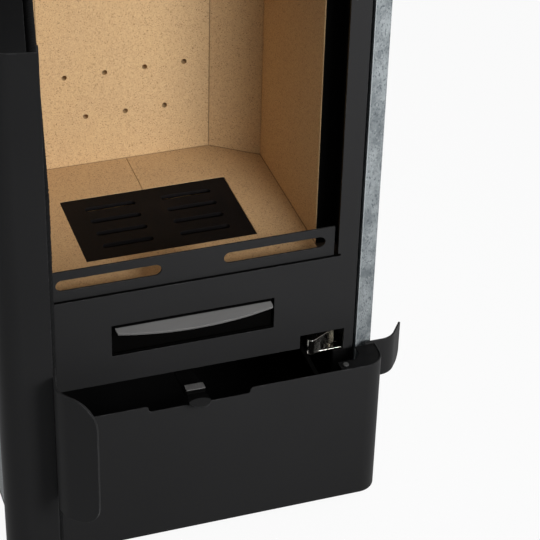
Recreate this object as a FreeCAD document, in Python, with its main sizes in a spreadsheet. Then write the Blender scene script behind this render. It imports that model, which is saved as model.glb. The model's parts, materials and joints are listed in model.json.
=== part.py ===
import FreeCAD, Part
import math
import os
import Sketcher

# A free-standing steel wood stove with stone side slabs.
# Frame: X to the right, Y to the rear, Z up; the origin is on the floor, under the middle of the body.
# The lower door rests shut. The tall firebox door rests open, swung out to the left on its pins.

os.makedirs("parts", exist_ok=True)
doc = FreeCAD.newDocument("wood_stove")
sheet = doc.addObject("Spreadsheet::Sheet", "dims")
Vector = FreeCAD.Vector


class Size:
    """A length that knows its value now and the sheet formula behind it."""

    def __init__(self, value, formula):
        self.value = float(value)
        self.formula = formula

    def __add__(self, other):
        other = as_size(other)
        return Size(self.value + other.value, f"({self.formula} + {other.formula})")

    def __radd__(self, other):
        return as_size(other) + self

    def __sub__(self, other):
        other = as_size(other)
        return Size(self.value - other.value, f"({self.formula} - {other.formula})")

    def __rsub__(self, other):
        return as_size(other) - self

    def __mul__(self, other):
        other = as_size(other)
        return Size(self.value * other.value, f"({self.formula} * {other.formula})")

    def __rmul__(self, other):
        return as_size(other) * self

    def __truediv__(self, other):
        other = as_size(other)
        return Size(self.value / other.value, f"({self.formula} / {other.formula})")

    def __neg__(self):
        return Size(-self.value, f"(-{self.formula})")


def as_size(number):
    return number if isinstance(number, Size) else Size(number, f"({float(number)})")


sheet_rows = []


def size(alias, value):
    """Put one driving dimension in the sheet and return it for use in formulas."""
    sheet_rows.append(alias)
    line = len(sheet_rows)
    sheet.set(f"A{line}", alias)
    sheet.set(f"B{line}", str(value))
    sheet.setAlias(f"B{line}", alias)
    return Size(value, f"dims.{alias}")


# Whole body
body_depth = size("body_depth", 408)
half_width = size("half_width", 262)
side_build = size("side_build", 28)
plate_half_width = half_width - side_build
body_top = size("body_top", 1085)
foot_height = size("foot_height", 10)
foot_radius = size("foot_radius", 18)
foot_inset = size("foot_inset", 40)
base_thick = size("base_thick", 6)
top_thick = size("top_thick", 6)
front_thick = size("front_thick", 5)
casing_thick = size("casing_thick", 2)
rear_thick = size("rear_thick", 2)
stone_thick = size("stone_thick", 23.5)
stone_head_gap = size("stone_head_gap", 1)
stone_edge_round = size("stone_edge_round", 4)

# Front plate openings
fire_border = size("fire_border", 29)
fire_half_width = plate_half_width - fire_border
fire_bottom = size("fire_bottom", 402)
slit_overhang = size("slit_overhang", 4)
slit_half_width = fire_half_width + slit_overhang
slit_height = size("slit_height", 4)
ash_slot_half_width = size("ash_slot_half_width", 115)
ash_slot_bottom = size("ash_slot_bottom", 296.2)
ash_slot_top = size("ash_slot_top", 346.8)
store_bottom = size("store_bottom", 32)
store_top = size("store_top", 251)
latch_side_gap = size("latch_side_gap", 42)
latch_window = size("latch_window", 65)
latch_right = half_width - latch_side_gap
latch_left = latch_right - latch_window
latch_bottom = size("latch_bottom", 237)
latch_top = size("latch_top", 273)

# Firebox
lining_thick = size("lining_thick", 28)
side_space = size("side_space", 41.7)
fire_side = plate_half_width - side_space
rear_space = size("rear_space", 63.3)
fire_back = body_depth - rear_space
fire_floor = size("fire_floor", 386.6)
floor_thick = size("floor_thick", 30)
lining_front = size("lining_front", 57)
corner_run = size("corner_run", 46.7)
corner_side_depth = fire_back - corner_run
corner_back_half_width = size("corner_back_half_width", 126.5)
firebox_sheet = size("firebox_sheet", 4)
lining_clearance = size("lining_clearance", 0.5)
air_hole_radius = size("air_hole_radius", 4)
air_hole_pitch = size("air_hole_pitch", 59)
air_hole_low = size("air_hole_low", 466)
air_hole_high = size("air_hole_high", 534)
flue_run = size("flue_run", 155)
smoke_room = size("smoke_room", 50)
lintel_drop = size("lintel_drop", 10)
firebox_roof_height = body_top - flue_run
lining_top = firebox_roof_height - smoke_room
fire_top = lining_top - lintel_drop
baffle_thick = size("baffle_thick", 25)
baffle_depth = size("baffle_depth", 214.7)
baffle_front = fire_back - baffle_depth
trim_thick = size("trim_thick", 3)
wash_depth = size("wash_depth", 40)
wash_height = size("wash_height", 42)
wash_sheet = size("wash_sheet", 1.5)

# Flue
flue_back_gap = size("flue_back_gap", 168)
flue_depth = body_depth - flue_back_gap
flue_radius = size("flue_radius", 74.5)
flue_wall = size("flue_wall", 3.5)
flue_clearance = size("flue_clearance", 1)
smoke_wall = size("smoke_wall", 3)
collar_height = size("collar_height", 40)
collar_flange = size("collar_flange", 18)
collar_flange_thick = size("collar_flange_thick", 4)

# Grate and log retainer
grate_half_width = size("grate_half_width", 121.5)
grate_depth = size("grate_depth", 153.5)
grate_back_gap = size("grate_back_gap", 90.6)
grate_back = fire_back - grate_back_gap
grate_front = grate_back - grate_depth
grate_thick = size("grate_thick", 6)
grate_clearance = size("grate_clearance", 0.7)
grate_ledge = size("grate_ledge", 9)
grate_slot_inner = size("grate_slot_inner", 19)
grate_slot_outer = size("grate_slot_outer", 92.5)
grate_slot_width = size("grate_slot_width", 10)
grate_slot_margin = size("grate_slot_margin", 29.9)
grate_slot_first = grate_front + grate_slot_margin
grate_slot_pitch = size("grate_slot_pitch", 31.6)
retainer_side_gap = size("retainer_side_gap", 4)
retainer_half_width = fire_half_width - retainer_side_gap
retainer_thick = size("retainer_thick", 3)
retainer_bottom = size("retainer_bottom", 391)
retainer_height = size("retainer_height", 53)
retainer_slot_inner = size("retainer_slot_inner", 43.4)
retainer_slot_margin = size("retainer_slot_margin", 13.3)
retainer_slot_outer = retainer_half_width - retainer_slot_margin
retainer_slot_height = size("retainer_slot_height", 17)
retainer_slot_centre = size("retainer_slot_centre", 422)
retainer_leg_inset = size("retainer_leg_inset", 36)
retainer_leg_inner = retainer_half_width - retainer_leg_inset
retainer_leg_width = size("retainer_leg_width", 20)

# Ash drawer
drawer_half_width = size("drawer_half_width", 113.5)
drawer_front = size("drawer_front", 8)
drawer_back_gap = size("drawer_back_gap", 52.7)
drawer_depth = fire_back - drawer_front - drawer_back_gap
drawer_sheet = size("drawer_sheet", 1.5)
drawer_run = size("drawer_run", 0.4)
drawer_top = size("drawer_top", 344)
housing_gap = size("housing_gap", 1)
housing_sheet = size("housing_sheet", 1.5)
pull_half_width = size("pull_half_width", 110)
pull_level = size("pull_level", 338.5)
pull_thick = size("pull_thick", 3)
pull_reach = size("pull_reach", 26)
pull_arc_radius = size("pull_arc_radius", 410)
pull_corner = size("pull_corner", 9)

# Combustion air control
air_box_half_width = size("air_box_half_width", 120)
air_box_front = size("air_box_front", 20)
air_box_back = size("air_box_back", 130)
air_box_bottom = size("air_box_bottom", 257)
air_sheet = size("air_sheet", 1.5)
air_port_half_width = size("air_port_half_width", 40)
rise_width = size("rise_width", 20)
rail_depth = size("rail_depth", 10)
rail_drop = size("rail_drop", 6)
rail_lip = size("rail_lip", 2)
rail_gap = size("rail_gap", 0.5)
slide_half_length = size("slide_half_length", 52)
slide_thick = size("slide_thick", 2.5)
lever_centre = size("lever_centre", -12)
lever_width = size("lever_width", 27)
lever_thick = size("lever_thick", 3)
lever_level = size("lever_level", 246)
lever_reach = size("lever_reach", 66)
lever_tail = size("lever_tail", 75)
lever_foot = size("lever_foot", 25)
lever_sink = size("lever_sink", 6)
hump_front = size("hump_front", 51)
hump_length = size("hump_length", 13)
hump_rise = size("hump_rise", 6.5)
thumb_radius = size("thumb_radius", 16)
inlet_radius = size("inlet_radius", 40)
inlet_wall = size("inlet_wall", 1.5)
inlet_stub = size("inlet_stub", 30)
inlet_level = size("inlet_level", 190)
duct_half_width = size("duct_half_width", 45)

# Doors, drawn shut
door_reach = size("door_reach", 63)
door_back_gap = size("door_back_gap", 12)
upper_back_gap = size("upper_back_gap", 6)
door_sheet = size("door_sheet", 2)
door_corner = size("door_corner", 29)
door_flange = size("door_flange", 15)
lower_door_bottom = size("lower_door_bottom", 20)
lower_door_top = size("lower_door_top", 250)
upper_door_bottom = size("upper_door_bottom", 257)
door_head_gap = size("door_head_gap", 5)
upper_door_top = body_top - door_head_gap
notch_left = size("notch_left", -82)
notch_right = size("notch_right", 62)
notch_depth = size("notch_depth", 9.5)
notch_round = size("notch_round", 4.5)
open_angle = size("open_angle", 101)

# Pin hinges
hinge_inset = size("hinge_inset", 16)
hinge_forward = size("hinge_forward", 36)
pin_radius = size("pin_radius", 5)
pin_fit = size("pin_fit", 0.05)
pin_bite = size("pin_bite", 14)
hinge_plate_thick = size("hinge_plate_thick", 4)
hinge_plate_length = size("hinge_plate_length", 62)
hinge_plate_inner = half_width - hinge_plate_length
hinge_plate_margin = size("hinge_plate_margin", 2)
bracket_thick = size("bracket_thick", 4)
bracket_margin = size("bracket_margin", 12)

# Glass, seal and frame of the firebox door
view_side_margin = size("view_side_margin", 5)
view_half_width = fire_half_width - view_side_margin
view_margin = size("view_margin", 10)
view_bottom = fire_bottom + view_margin
view_top = fire_top + view_margin
glass_thick = size("glass_thick", 4)
glass_overlap = size("glass_overlap", 20)
gasket_thick = size("gasket_thick", 3)
gasket_width = size("gasket_width", 12)
frame_wall = size("frame_wall", 3)
frame_gap = size("frame_gap", 1)
frame_flange = size("frame_flange", 14)
rope_gap = size("rope_gap", 0.5)
rope_width = size("rope_width", 12)
rope_round = size("rope_round", 4)
clip_length = size("clip_length", 30)
clip_reach = size("clip_reach", 12)

# Lip handles and catches
lip_thick = size("lip_thick", 3)
lip_run = size("lip_run", 27)
lip_reach = size("lip_reach", 52)
lip_bend = half_width + lip_run
lip_tip_reach = half_width + lip_reach
lip_tip_depth = size("lip_tip_depth", 20)
lip_bend_round = size("lip_bend_round", 26)
lip_bend_step = lip_thick * 0.4
lip_tip_step_x = lip_thick * 0.8
lip_tip_step_y = lip_thick * 0.6
lower_lip_corner = size("lower_lip_corner", 16)
lower_lip_height = size("lower_lip_height", 63)
upper_lip_reach = size("upper_lip_reach", 57)
upper_lip_tip_depth = size("upper_lip_tip_depth", 34)
upper_lip_corner = size("upper_lip_corner", 30)
upper_lip_bottom = size("upper_lip_bottom", 550)
upper_lip_top = size("upper_lip_top", 710)
catch_width = size("catch_width", 6)
catch_height = size("catch_height", 5)
catch_reach = size("catch_reach", 14)
catch_inset = size("catch_inset", 2)
gusset_side = size("gusset_side", 28)
gusset_front = size("gusset_front", 10)
gusset_length = size("gusset_length", 65)
gusset_end = half_width - gusset_length
gusset_drop = size("gusset_drop", 2)
stop_pin_radius = size("stop_pin_radius", 4)

# Sprung latch
latch_sheet = size("latch_sheet", 2)
latch_pivot_inset = size("latch_pivot_inset", 14)
latch_pivot_x = latch_right - latch_pivot_inset
latch_pivot_depth = size("latch_pivot_depth", 21)
latch_pin_radius = size("latch_pin_radius", 3)
latch_arm = size("latch_arm", 34)
latch_nose_x = latch_pivot_x - latch_arm
latch_nose_depth = size("latch_nose_depth", 3)
latch_nose_radius = size("latch_nose_radius", 7)
latch_run = size("latch_run", 3)
latch_cup_depth = size("latch_cup_depth", 36)
spring_radius = size("spring_radius", 5.5)
spring_wire = size("spring_wire", 0.8)
spring_turns = size("spring_turns", 3)
spring_gap = size("spring_gap", 0.3)

front = -body_depth / 2
zero = as_size(0)
steel_top = body_top + top_thick
base_top = foot_height + base_thick
stone_inner = half_width - stone_thick
casing_outer = plate_half_width - 2
casing_inner = casing_outer - casing_thick
shell_inner = fire_side + lining_thick + lining_clearance
shell_outer = shell_inner + firebox_sheet
shell_back = fire_back + lining_thick + lining_clearance
brick_bottom = fire_floor - floor_thick
hinge_x = hinge_inset - half_width
hinge_y = front - hinge_forward
door_face = front - door_reach
door_inside = door_face + door_sheet
door_back = front - door_back_gap
upper_back = front - upper_back_gap


def deep(distance):
    """Y of a point this far behind the front face of the front plate."""
    return front + distance


def bind(thing, prop, value):
    thing.setExpression(prop, as_size(value).formula)


def place(thing, x, y, z):
    for axis, value in zip("xyz", (x, y, z)):
        bind(thing, f"Placement.Base.{axis}", value)


def block(name, x, y, z):
    """A box between two X, two Y and two Z values."""
    box = doc.addObject("Part::Box", name)
    for side, (low, high) in zip(("Length", "Width", "Height"), (x, y, z)):
        bind(box, side, as_size(high) - low)
    place(box, x[0], y[0], z[0])
    return box


def rod(name, radius, x, y, z):
    """An upright cylinder between two Z values."""
    cylinder = doc.addObject("Part::Cylinder", name)
    bind(cylinder, "Radius", radius)
    bind(cylinder, "Height", as_size(z[1]) - z[0])
    place(cylinder, x, y, z[0])
    return cylinder


def bore(name, radius, x, y, z):
    """A level cylinder running to the rear between two Y values."""
    cylinder = doc.addObject("Part::Cylinder", name)
    bind(cylinder, "Radius", radius)
    bind(cylinder, "Height", as_size(y[1]) - y[0])
    cylinder.Placement = FreeCAD.Placement(Vector(0, 0, 0), FreeCAD.Rotation(Vector(1, 0, 0), -90))
    place(cylinder, x, y[0], z)
    return cylinder


def join(name, *pieces):
    union = doc.addObject("Part::MultiFuse", name)
    union.Shapes = list(pieces)
    union.Refine = True
    return union


def cut(name, base, *tools):
    result = doc.addObject("Part::Cut", name)
    result.Base = base
    result.Tool = tools[0] if len(tools) == 1 else join(f"{name}_tools", *tools)
    result.Refine = True
    return result


def level_slot(name, x, y, middle, width):
    """An obround cutter through an upright plate: ends at two X values, centred on a height."""
    half = width / 2
    bar = block(f"{name}_bar", (x[0] + half, x[1] - half), y, (middle - half, middle + half))
    left = bore(f"{name}_left", half, x[0] + half, y, middle)
    right = bore(f"{name}_right", half, x[1] - half, y, middle)
    return join(name, bar, left, right)


def prism(name, corners, z):
    """A body padded upward from a closed outline of X, Y corners."""
    body = doc.addObject("PartDesign::Body", name)
    outline = body.newObject("Sketcher::SketchObject", f"{name}_outline")
    floor = next(item for item in body.Origin.OriginFeatures if item.Role == "XY_Plane")
    outline.AttachmentSupport = [(floor, "")]
    outline.MapMode = "FlatFace"
    points = [(as_size(x), as_size(y)) for x, y in corners]
    count = len(points)
    for index, (x, y) in enumerate(points):
        following = points[(index + 1) % count]
        start = Vector(x.value, y.value, 0)
        end = Vector(following[0].value, following[1].value, 0)
        outline.addGeometry(Part.LineSegment(start, end), False)
    for index in range(count):
        outline.addConstraint(Sketcher.Constraint("Coincident", index, 2, (index + 1) % count, 1))
    for index, (x, y) in enumerate(points):
        for kind, value in (("DistanceX", x), ("DistanceY", y)):
            number = outline.addConstraint(Sketcher.Constraint(kind, -1, 1, index, 1, value.value))
            bind(outline, f"Constraints[{number}]", value)
    pad = body.newObject("PartDesign::Pad", f"{name}_pad")
    pad.Profile = outline
    bind(pad, "Length", as_size(z[1]) - z[0])
    body.Tip = pad
    bind(body, "Placement.Base.z", z[0])
    doc.recompute()
    return body


def near(point, x, y, z=None):
    """Tell whether a vertex lies on an upright line, or on a point when a height is given."""
    flat = abs(point.x - x.value) < 0.01 and abs(point.y - y.value) < 0.01
    return flat and (z is None or abs(point.z - z.value) < 0.01)


def round_upright_edges(body, radius, *lines):
    """Fillet the upright edges of a prism that stand on the given X, Y points."""
    pad = body.Tip
    names = []
    for index, edge in enumerate(pad.Shape.Edges):
        ends = [vertex.Point for vertex in edge.Vertexes]
        if any(all(near(end, as_size(x), as_size(y)) for end in ends) for x, y in lines):
            names.append(f"Edge{index + 1}")
    fillet = body.newObject("PartDesign::Fillet", f"{body.Name}_round_{len(body.Group)}")
    fillet.Base = (pad, names)
    bind(fillet, "Radius", radius)
    body.Tip = fillet
    doc.recompute()
    return body


def swing_open(piece):
    """Turn a piece of the firebox door from shut to its rest angle about the hinge line."""
    angle = open_angle.formula
    centre_x, centre_y = hinge_x.formula, hinge_y.formula
    height = piece.Placement.Base.z
    bound = [entry[1] for entry in piece.ExpressionEngine if entry[0].endswith("Placement.Base.z")]
    turn = FreeCAD.Rotation(Vector(0, 0, 1), -open_angle.value)
    piece.Placement = FreeCAD.Placement(Vector(0, 0, height), turn)
    piece.setExpression("Placement.Rotation.Angle", f"-{angle}")
    turned_x = f"{centre_x} * cos({angle}) + {centre_y} * sin({angle})"
    turned_y = f"{centre_y} * cos({angle}) - {centre_x} * sin({angle})"
    piece.setExpression("Placement.Base.x", f"{centre_x} - ({turned_x})")
    piece.setExpression("Placement.Base.y", f"{centre_y} - ({turned_y})")
    if bound:
        piece.setExpression("Placement.Base.z", bound[0])
    return piece


nodes = []


def node(label, piece):
    piece.Label = label
    nodes.append(piece)
    return piece


def mirrored(sign, low, high):
    """The two X limits of a piece on the left (-1) or right (+1) side, in rising order."""
    return (low, high) if sign > 0 else (-high, -low)


# Base, feet and casing
base_sheet = block("base_sheet", (-half_width, half_width), (front, -front), (foot_height, base_top))
bracket_outline = [
    (-hinge_plate_inner, front),
    (-plate_half_width, front),
    (-plate_half_width, front - bracket_margin),
    (hinge_x - bracket_margin, hinge_y + bracket_margin),
    (hinge_x - bracket_margin, hinge_y - bracket_margin),
    (hinge_x + bracket_margin, hinge_y - bracket_margin),
    (-hinge_plate_inner, front - bracket_margin),
]
base_tab = prism("base_tab", bracket_outline, (foot_height, base_top))
base_whole = join("base_whole", base_sheet, base_tab)
base_pin_hole = rod("base_pin_hole", pin_radius + pin_fit, hinge_x, hinge_y, (zero, base_top + 5))
node("base_plate", cut("base_cut", base_whole, base_pin_hole))
for side, sign in (("left", -1), ("right", 1)):
    for end, turn in (("front", -1), ("rear", 1)):
        foot_x = sign * (plate_half_width - foot_inset)
        foot_y = turn * (body_depth / 2 - foot_inset)
        foot = rod(f"foot_{end}_{side}", foot_radius, foot_x, foot_y, (zero, foot_height))
        node(f"foot_{end}_{side}", foot)

node("foot_centre", rod("foot_centre", foot_radius, zero, zero, (zero, foot_height)))

for side, sign in (("left", -1), ("right", 1)):
    casing_x = mirrored(sign, casing_inner, casing_outer)
    casing_y = (deep(front_thick), -front - rear_thick)
    node(f"casing_{side}", block(f"casing_{side}", casing_x, casing_y, (base_top, body_top)))
    outer_x = sign * half_width
    inner_x = sign * stone_inner
    slab = prism(
        f"stone_{side}",
        [(inner_x, front), (outer_x, front), (outer_x, -front), (inner_x, -front)],
        (base_top, body_top - stone_head_gap),
    )
    node(f"stone_{side}", round_upright_edges(slab, stone_edge_round, (outer_x, front), (outer_x, -front)))

rear_y = (-front - rear_thick, -front)
rear_sheet = block("rear_sheet", (-casing_outer, casing_outer), rear_y, (base_top, body_top))
rear_hole = bore("rear_hole", inlet_radius + 1, zero, (-front - 10, -front + 10), inlet_level)
node("rear_cover", cut("rear_cover", rear_sheet, rear_hole))

# Front plate with the fire opening, the air slit, the ash slot, the store opening and the latch window
plate_y = (front, deep(front_thick))
through = (front - 5, deep(front_thick) + 5)
plate_sheet = block("plate_sheet", (-plate_half_width, plate_half_width), plate_y, (base_top, body_top))
slit_level = fire_bottom - slit_height / 2
fire_hole = block("fire_hole", (-fire_half_width, fire_half_width), through, (slit_level, fire_top))
slit = level_slot("slit", (-slit_half_width, slit_half_width), through, slit_level, slit_height)
ash_slot_x = (-ash_slot_half_width, ash_slot_half_width)
ash_hole = block("ash_hole", ash_slot_x, through, (ash_slot_bottom, ash_slot_top))
store_hole = block("store_hole", (-fire_half_width, fire_half_width), through, (store_bottom, store_top))
latch_hole = block("latch_hole", (latch_left, latch_right), through, (latch_bottom, latch_top))
node("front_plate", cut("front_plate", plate_sheet, fire_hole, slit, ash_hole, store_hole, latch_hole))

# Top plate, rounded like the doors below it, and the flue collar
top_outline = [
    (-half_width, door_face),
    (half_width, door_face),
    (half_width, -front),
    (-half_width, -front),
]
top_sheet = prism("top_sheet", top_outline, (body_top, steel_top))
round_upright_edges(top_sheet, door_corner, (-half_width, door_face), (half_width, door_face))
flue_hole_z = (body_top - 5, steel_top + 5)
flue_hole = rod("flue_hole", flue_radius + flue_clearance, zero, deep(flue_depth), flue_hole_z)
top_pin_hole = rod("top_pin_hole", pin_radius + pin_fit, hinge_x, hinge_y, (body_top - 5, steel_top + 5))
node("top_plate", cut("top_plate", top_sheet, flue_hole, top_pin_hole))
collar_tube = rod("collar_tube", flue_radius, zero, deep(flue_depth), (body_top, steel_top + collar_height))
collar_ring_z = (steel_top, steel_top + collar_flange_thick)
collar_ring = rod("collar_ring", flue_radius + collar_flange, zero, deep(flue_depth), collar_ring_z)
collar_solid = join("collar_solid", collar_tube, collar_ring)
collar_bore_z = (body_top - 5, steel_top + collar_height + 5)
collar_bore = rod("collar_bore", flue_radius - flue_wall, zero, deep(flue_depth), collar_bore_z)
node("flue_collar", cut("flue_collar", collar_solid, collar_bore))

# Steel firebox: a bottom plate between the casing sides, a bent wrap and a roof with the smoke tube
bottom_y = (deep(front_thick), deep(shell_back + firebox_sheet))
bottom_z = (brick_bottom - firebox_sheet, brick_bottom)
bottom_sheet = block("bottom_sheet", (-casing_inner, casing_inner), bottom_y, bottom_z)
ash_fall_x = grate_half_width - 2 * grate_ledge
ash_fall_y = (deep(grate_front + 2 * grate_ledge), deep(grate_back - 2 * grate_ledge))
ash_fall = block("ash_fall", (-ash_fall_x, ash_fall_x), ash_fall_y, (brick_bottom - 20, brick_bottom + 20))
node("firebox_bottom", cut("firebox_bottom", bottom_sheet, ash_fall))

wrap_outline = [
    (-shell_outer, deep(front_thick)),
    (-shell_inner, deep(front_thick)),
    (-shell_inner, deep(shell_back)),
    (shell_inner, deep(shell_back)),
    (shell_inner, deep(front_thick)),
    (shell_outer, deep(front_thick)),
    (shell_outer, deep(shell_back + firebox_sheet)),
    (-shell_outer, deep(shell_back + firebox_sheet)),
]
wrap_sheet = prism("wrap_sheet", wrap_outline, (brick_bottom, firebox_roof_height))
wrap_holes = []
lining_holes = []
for row, (height, first, count) in enumerate(((air_hole_high, -1.5, 4), (air_hole_low, -1, 3))):
    for step in range(count):
        hole_x = (first + step) * air_hole_pitch
        wrap_y = (deep(shell_back - 5), deep(shell_back + firebox_sheet + 5))
        lining_y = (deep(fire_back - 5), deep(fire_back + lining_thick + 5))
        wrap_holes.append(bore(f"wrap_hole_{row}_{step}", air_hole_radius, hole_x, wrap_y, height))
        lining_holes.append(bore(f"lining_hole_{row}_{step}", air_hole_radius, hole_x, lining_y, height))
node("firebox_wrap", cut("firebox_wrap", wrap_sheet, *wrap_holes))

smoke_radius = flue_radius - flue_wall - flue_clearance
roof_z = (firebox_roof_height, firebox_roof_height + firebox_sheet)
roof_sheet = block("roof_sheet", (-shell_outer, shell_outer), bottom_y, roof_z)
smoke_tube_z = (firebox_roof_height, steel_top + collar_flange_thick)
smoke_tube = rod("smoke_tube", smoke_radius, zero, deep(flue_depth), smoke_tube_z)
roof_solid = join("roof_solid", roof_sheet, smoke_tube)
smoke_bore_z = (firebox_roof_height - 10, steel_top + 30)
smoke_bore = rod("smoke_bore", smoke_radius - smoke_wall, zero, deep(flue_depth), smoke_bore_z)
node("firebox_roof", cut("firebox_roof", roof_solid, smoke_bore))

# Linings: floor bricks, side slabs, back slab with air holes and two corner wedges
seam = lining_clearance / 2
rebate_x = grate_half_width + grate_clearance
rebate_y = (deep(grate_front - grate_clearance), deep(grate_back + grate_clearance))
grate_seat = fire_floor - grate_thick
rebate = (-rebate_x, rebate_x), rebate_y, (grate_seat, fire_floor + 10)
fall_x = grate_half_width - grate_ledge
fall_y = (deep(grate_front + grate_ledge), deep(grate_back - grate_ledge))
fall = (-fall_x, fall_x), fall_y, (brick_bottom - 10, fire_floor + 10)
brick_y = (deep(front_thick + lining_clearance), deep(shell_back - lining_clearance))
for side, sign in (("left", -1), ("right", 1)):
    brick_x = mirrored(sign, seam, shell_inner - lining_clearance)
    brick = block(f"brick_{side}", brick_x, brick_y, (brick_bottom, fire_floor))
    seat_hole = block(f"seat_hole_{side}", *rebate)
    fall_hole = block(f"fall_hole_{side}", *fall)
    node(f"floor_{side}", cut(f"floor_{side}", brick, seat_hole, fall_hole))
    slab_x = mirrored(sign, fire_side, fire_side + lining_thick)
    slab_y = (deep(lining_front), deep(fire_back + lining_thick))
    node(f"{side}_lining", block(f"{side}_lining", slab_x, slab_y, (fire_floor, lining_top)))
    wedge_side = sign * (fire_side - lining_clearance)
    wedge_outline = [
        (wedge_side, deep(corner_side_depth)),
        (wedge_side, deep(fire_back)),
        (sign * corner_back_half_width, deep(fire_back)),
    ]
    node(f"rear_{side}_lining", prism(f"rear_{side}_lining", wedge_outline, (fire_floor, lining_top)))
    trim_x = mirrored(sign, fire_side + 1, shell_inner)
    trim_y = (deep(lining_front - trim_thick), deep(lining_front))
    node(f"lining_trim_{side}", block(f"lining_trim_{side}", trim_x, trim_y, (fire_floor, lining_top)))

back_half = fire_side - lining_clearance
back_y = (deep(fire_back), deep(fire_back + lining_thick))
back_slab = block("back_slab", (-back_half, back_half), back_y, (fire_floor, lining_top))
node("back_lining", cut("back_lining", back_slab, *lining_holes))
baffle_half = shell_inner - lining_clearance
baffle_y = (deep(baffle_front), deep(fire_back + lining_thick))
baffle_z = (lining_top, lining_top + baffle_thick)
node("baffle", block("baffle", (-baffle_half, baffle_half), baffle_y, baffle_z))

# Air wash duct above the fire opening, open toward the glass along its lower front edge
wash_y = (deep(front_thick), deep(front_thick + wash_depth))
wash_z = (fire_top + 5, fire_top + 5 + wash_height)
wash_body = block("wash_body", (-shell_inner, shell_inner), wash_y, wash_z)
wash_room_y = (deep(front_thick + wash_sheet), deep(front_thick + wash_depth - wash_sheet))
wash_room_z = (fire_top + 5 + wash_sheet, fire_top + 5 + wash_height - wash_sheet)
wash_room = block("wash_room", (wash_sheet - shell_inner, shell_inner - wash_sheet), wash_room_y, wash_room_z)
wash_lip_y = (deep(front_thick + 3), deep(front_thick + 9))
wash_lip = block("wash_lip", (-fire_half_width, fire_half_width), wash_lip_y, (fire_top, fire_top + 15))
node("air_wash_duct", cut("air_wash_duct", wash_body, wash_room, wash_lip))

# Grate: one slot pocket, mirrored to the other side and repeated toward the rear
grate_outline = [
    (-grate_half_width, deep(grate_front)),
    (grate_half_width, deep(grate_front)),
    (grate_half_width, deep(grate_back)),
    (-grate_half_width, deep(grate_back)),
]
grate = prism("grate", grate_outline, (grate_seat, fire_floor))
grate_slots = grate.newObject("Sketcher::SketchObject", "grate_slots")
grate_floor = next(item for item in grate.Origin.OriginFeatures if item.Role == "XY_Plane")
grate_slots.AttachmentSupport = [(grate_floor, "")]
grate_slots.MapMode = "FlatFace"
slot_half = grate_slot_width / 2
for sign in (-1, 1):
    near_end, far_end = mirrored(sign, grate_slot_inner + slot_half, grate_slot_outer - slot_half)
    slot_y = deep(grate_slot_first)
    first = grate_slots.GeometryCount
    low, high = slot_y.value - slot_half.value, slot_y.value + slot_half.value
    down, up = Vector(0, 0, 1), 1.5707963267948966
    left_arc = Part.Circle(Vector(near_end.value, slot_y.value, 0), down, slot_half.value)
    right_arc = Part.Circle(Vector(far_end.value, slot_y.value, 0), down, slot_half.value)
    grate_slots.addGeometry(Part.ArcOfCircle(left_arc, up, 3 * up), False)
    grate_slots.addGeometry(Part.ArcOfCircle(right_arc, -up, up), False)
    bottom_line = Part.LineSegment(Vector(near_end.value, low, 0), Vector(far_end.value, low, 0))
    top_line = Part.LineSegment(Vector(far_end.value, high, 0), Vector(near_end.value, high, 0))
    grate_slots.addGeometry(bottom_line, False)
    grate_slots.addGeometry(top_line, False)
    grate_slots.addConstraint(Sketcher.Constraint("Tangent", first, 2, first + 2, 1))
    grate_slots.addConstraint(Sketcher.Constraint("Tangent", first + 2, 2, first + 1, 1))
    grate_slots.addConstraint(Sketcher.Constraint("Tangent", first + 1, 2, first + 3, 1))
    grate_slots.addConstraint(Sketcher.Constraint("Tangent", first + 3, 2, first, 1))
    for centre, end_x in ((first, near_end), (first + 1, far_end)):
        number = grate_slots.addConstraint(Sketcher.Constraint("DistanceX", -1, 1, centre, 3, end_x.value))
        bind(grate_slots, f"Constraints[{number}]", end_x)
    number = grate_slots.addConstraint(Sketcher.Constraint("DistanceY", -1, 1, first, 3, slot_y.value))
    bind(grate_slots, f"Constraints[{number}]", slot_y)
    grate_slots.addConstraint(Sketcher.Constraint("Horizontal", first, 3, first + 1, 3))
    number = grate_slots.addConstraint(Sketcher.Constraint("Radius", first, slot_half.value))
    bind(grate_slots, f"Constraints[{number}]", slot_half)
slot_row = grate.newObject("PartDesign::Pocket", "grate_slot_row")
slot_row.Profile = grate_slots
slot_row.Type = "ThroughAll"
slot_row.Reversed = True
grate.Tip = slot_row
doc.recompute()
slot_rows = grate.newObject("PartDesign::LinearPattern", "grate_slot_rows")
slot_rows.Originals = [slot_row]
depth_axis = next(item for item in grate.Origin.OriginFeatures if item.Role == "Y_Axis")
slot_rows.Direction = (depth_axis, [""])
slot_rows.Occurrences = 4
bind(slot_rows, "Length", 3 * grate_slot_pitch)
grate.Tip = slot_rows
doc.recompute()
node("grate", grate)

# Log retainer: a plate with two long slots, standing on the floor bricks on two legs
retainer_y = (deep(front_thick + lining_clearance), deep(front_thick + lining_clearance + retainer_thick))
retainer_cut_y = (deep(front_thick - 5), deep(front_thick + retainer_thick + 5))
retainer_z = (retainer_bottom, retainer_bottom + retainer_height)
retainer_plate = block("retainer_plate", (-retainer_half_width, retainer_half_width), retainer_y, retainer_z)
retainer_parts = [retainer_plate]
retainer_slots = []
for side, sign in (("left", -1), ("right", 1)):
    leg_x = mirrored(sign, retainer_leg_inner, retainer_leg_inner + retainer_leg_width)
    retainer_parts.append(block(f"retainer_leg_{side}", leg_x, retainer_y, (fire_floor, retainer_bottom + 2)))
    slot_x = mirrored(sign, retainer_slot_inner, retainer_slot_outer)
    slot_name = f"retainer_slot_{side}"
    slot = level_slot(slot_name, slot_x, retainer_cut_y, retainer_slot_centre, retainer_slot_height)
    retainer_slots.append(slot)
retainer_whole = join("retainer_whole", *retainer_parts)
node("log_retainer", cut("log_retainer", retainer_whole, *retainer_slots))

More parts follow.
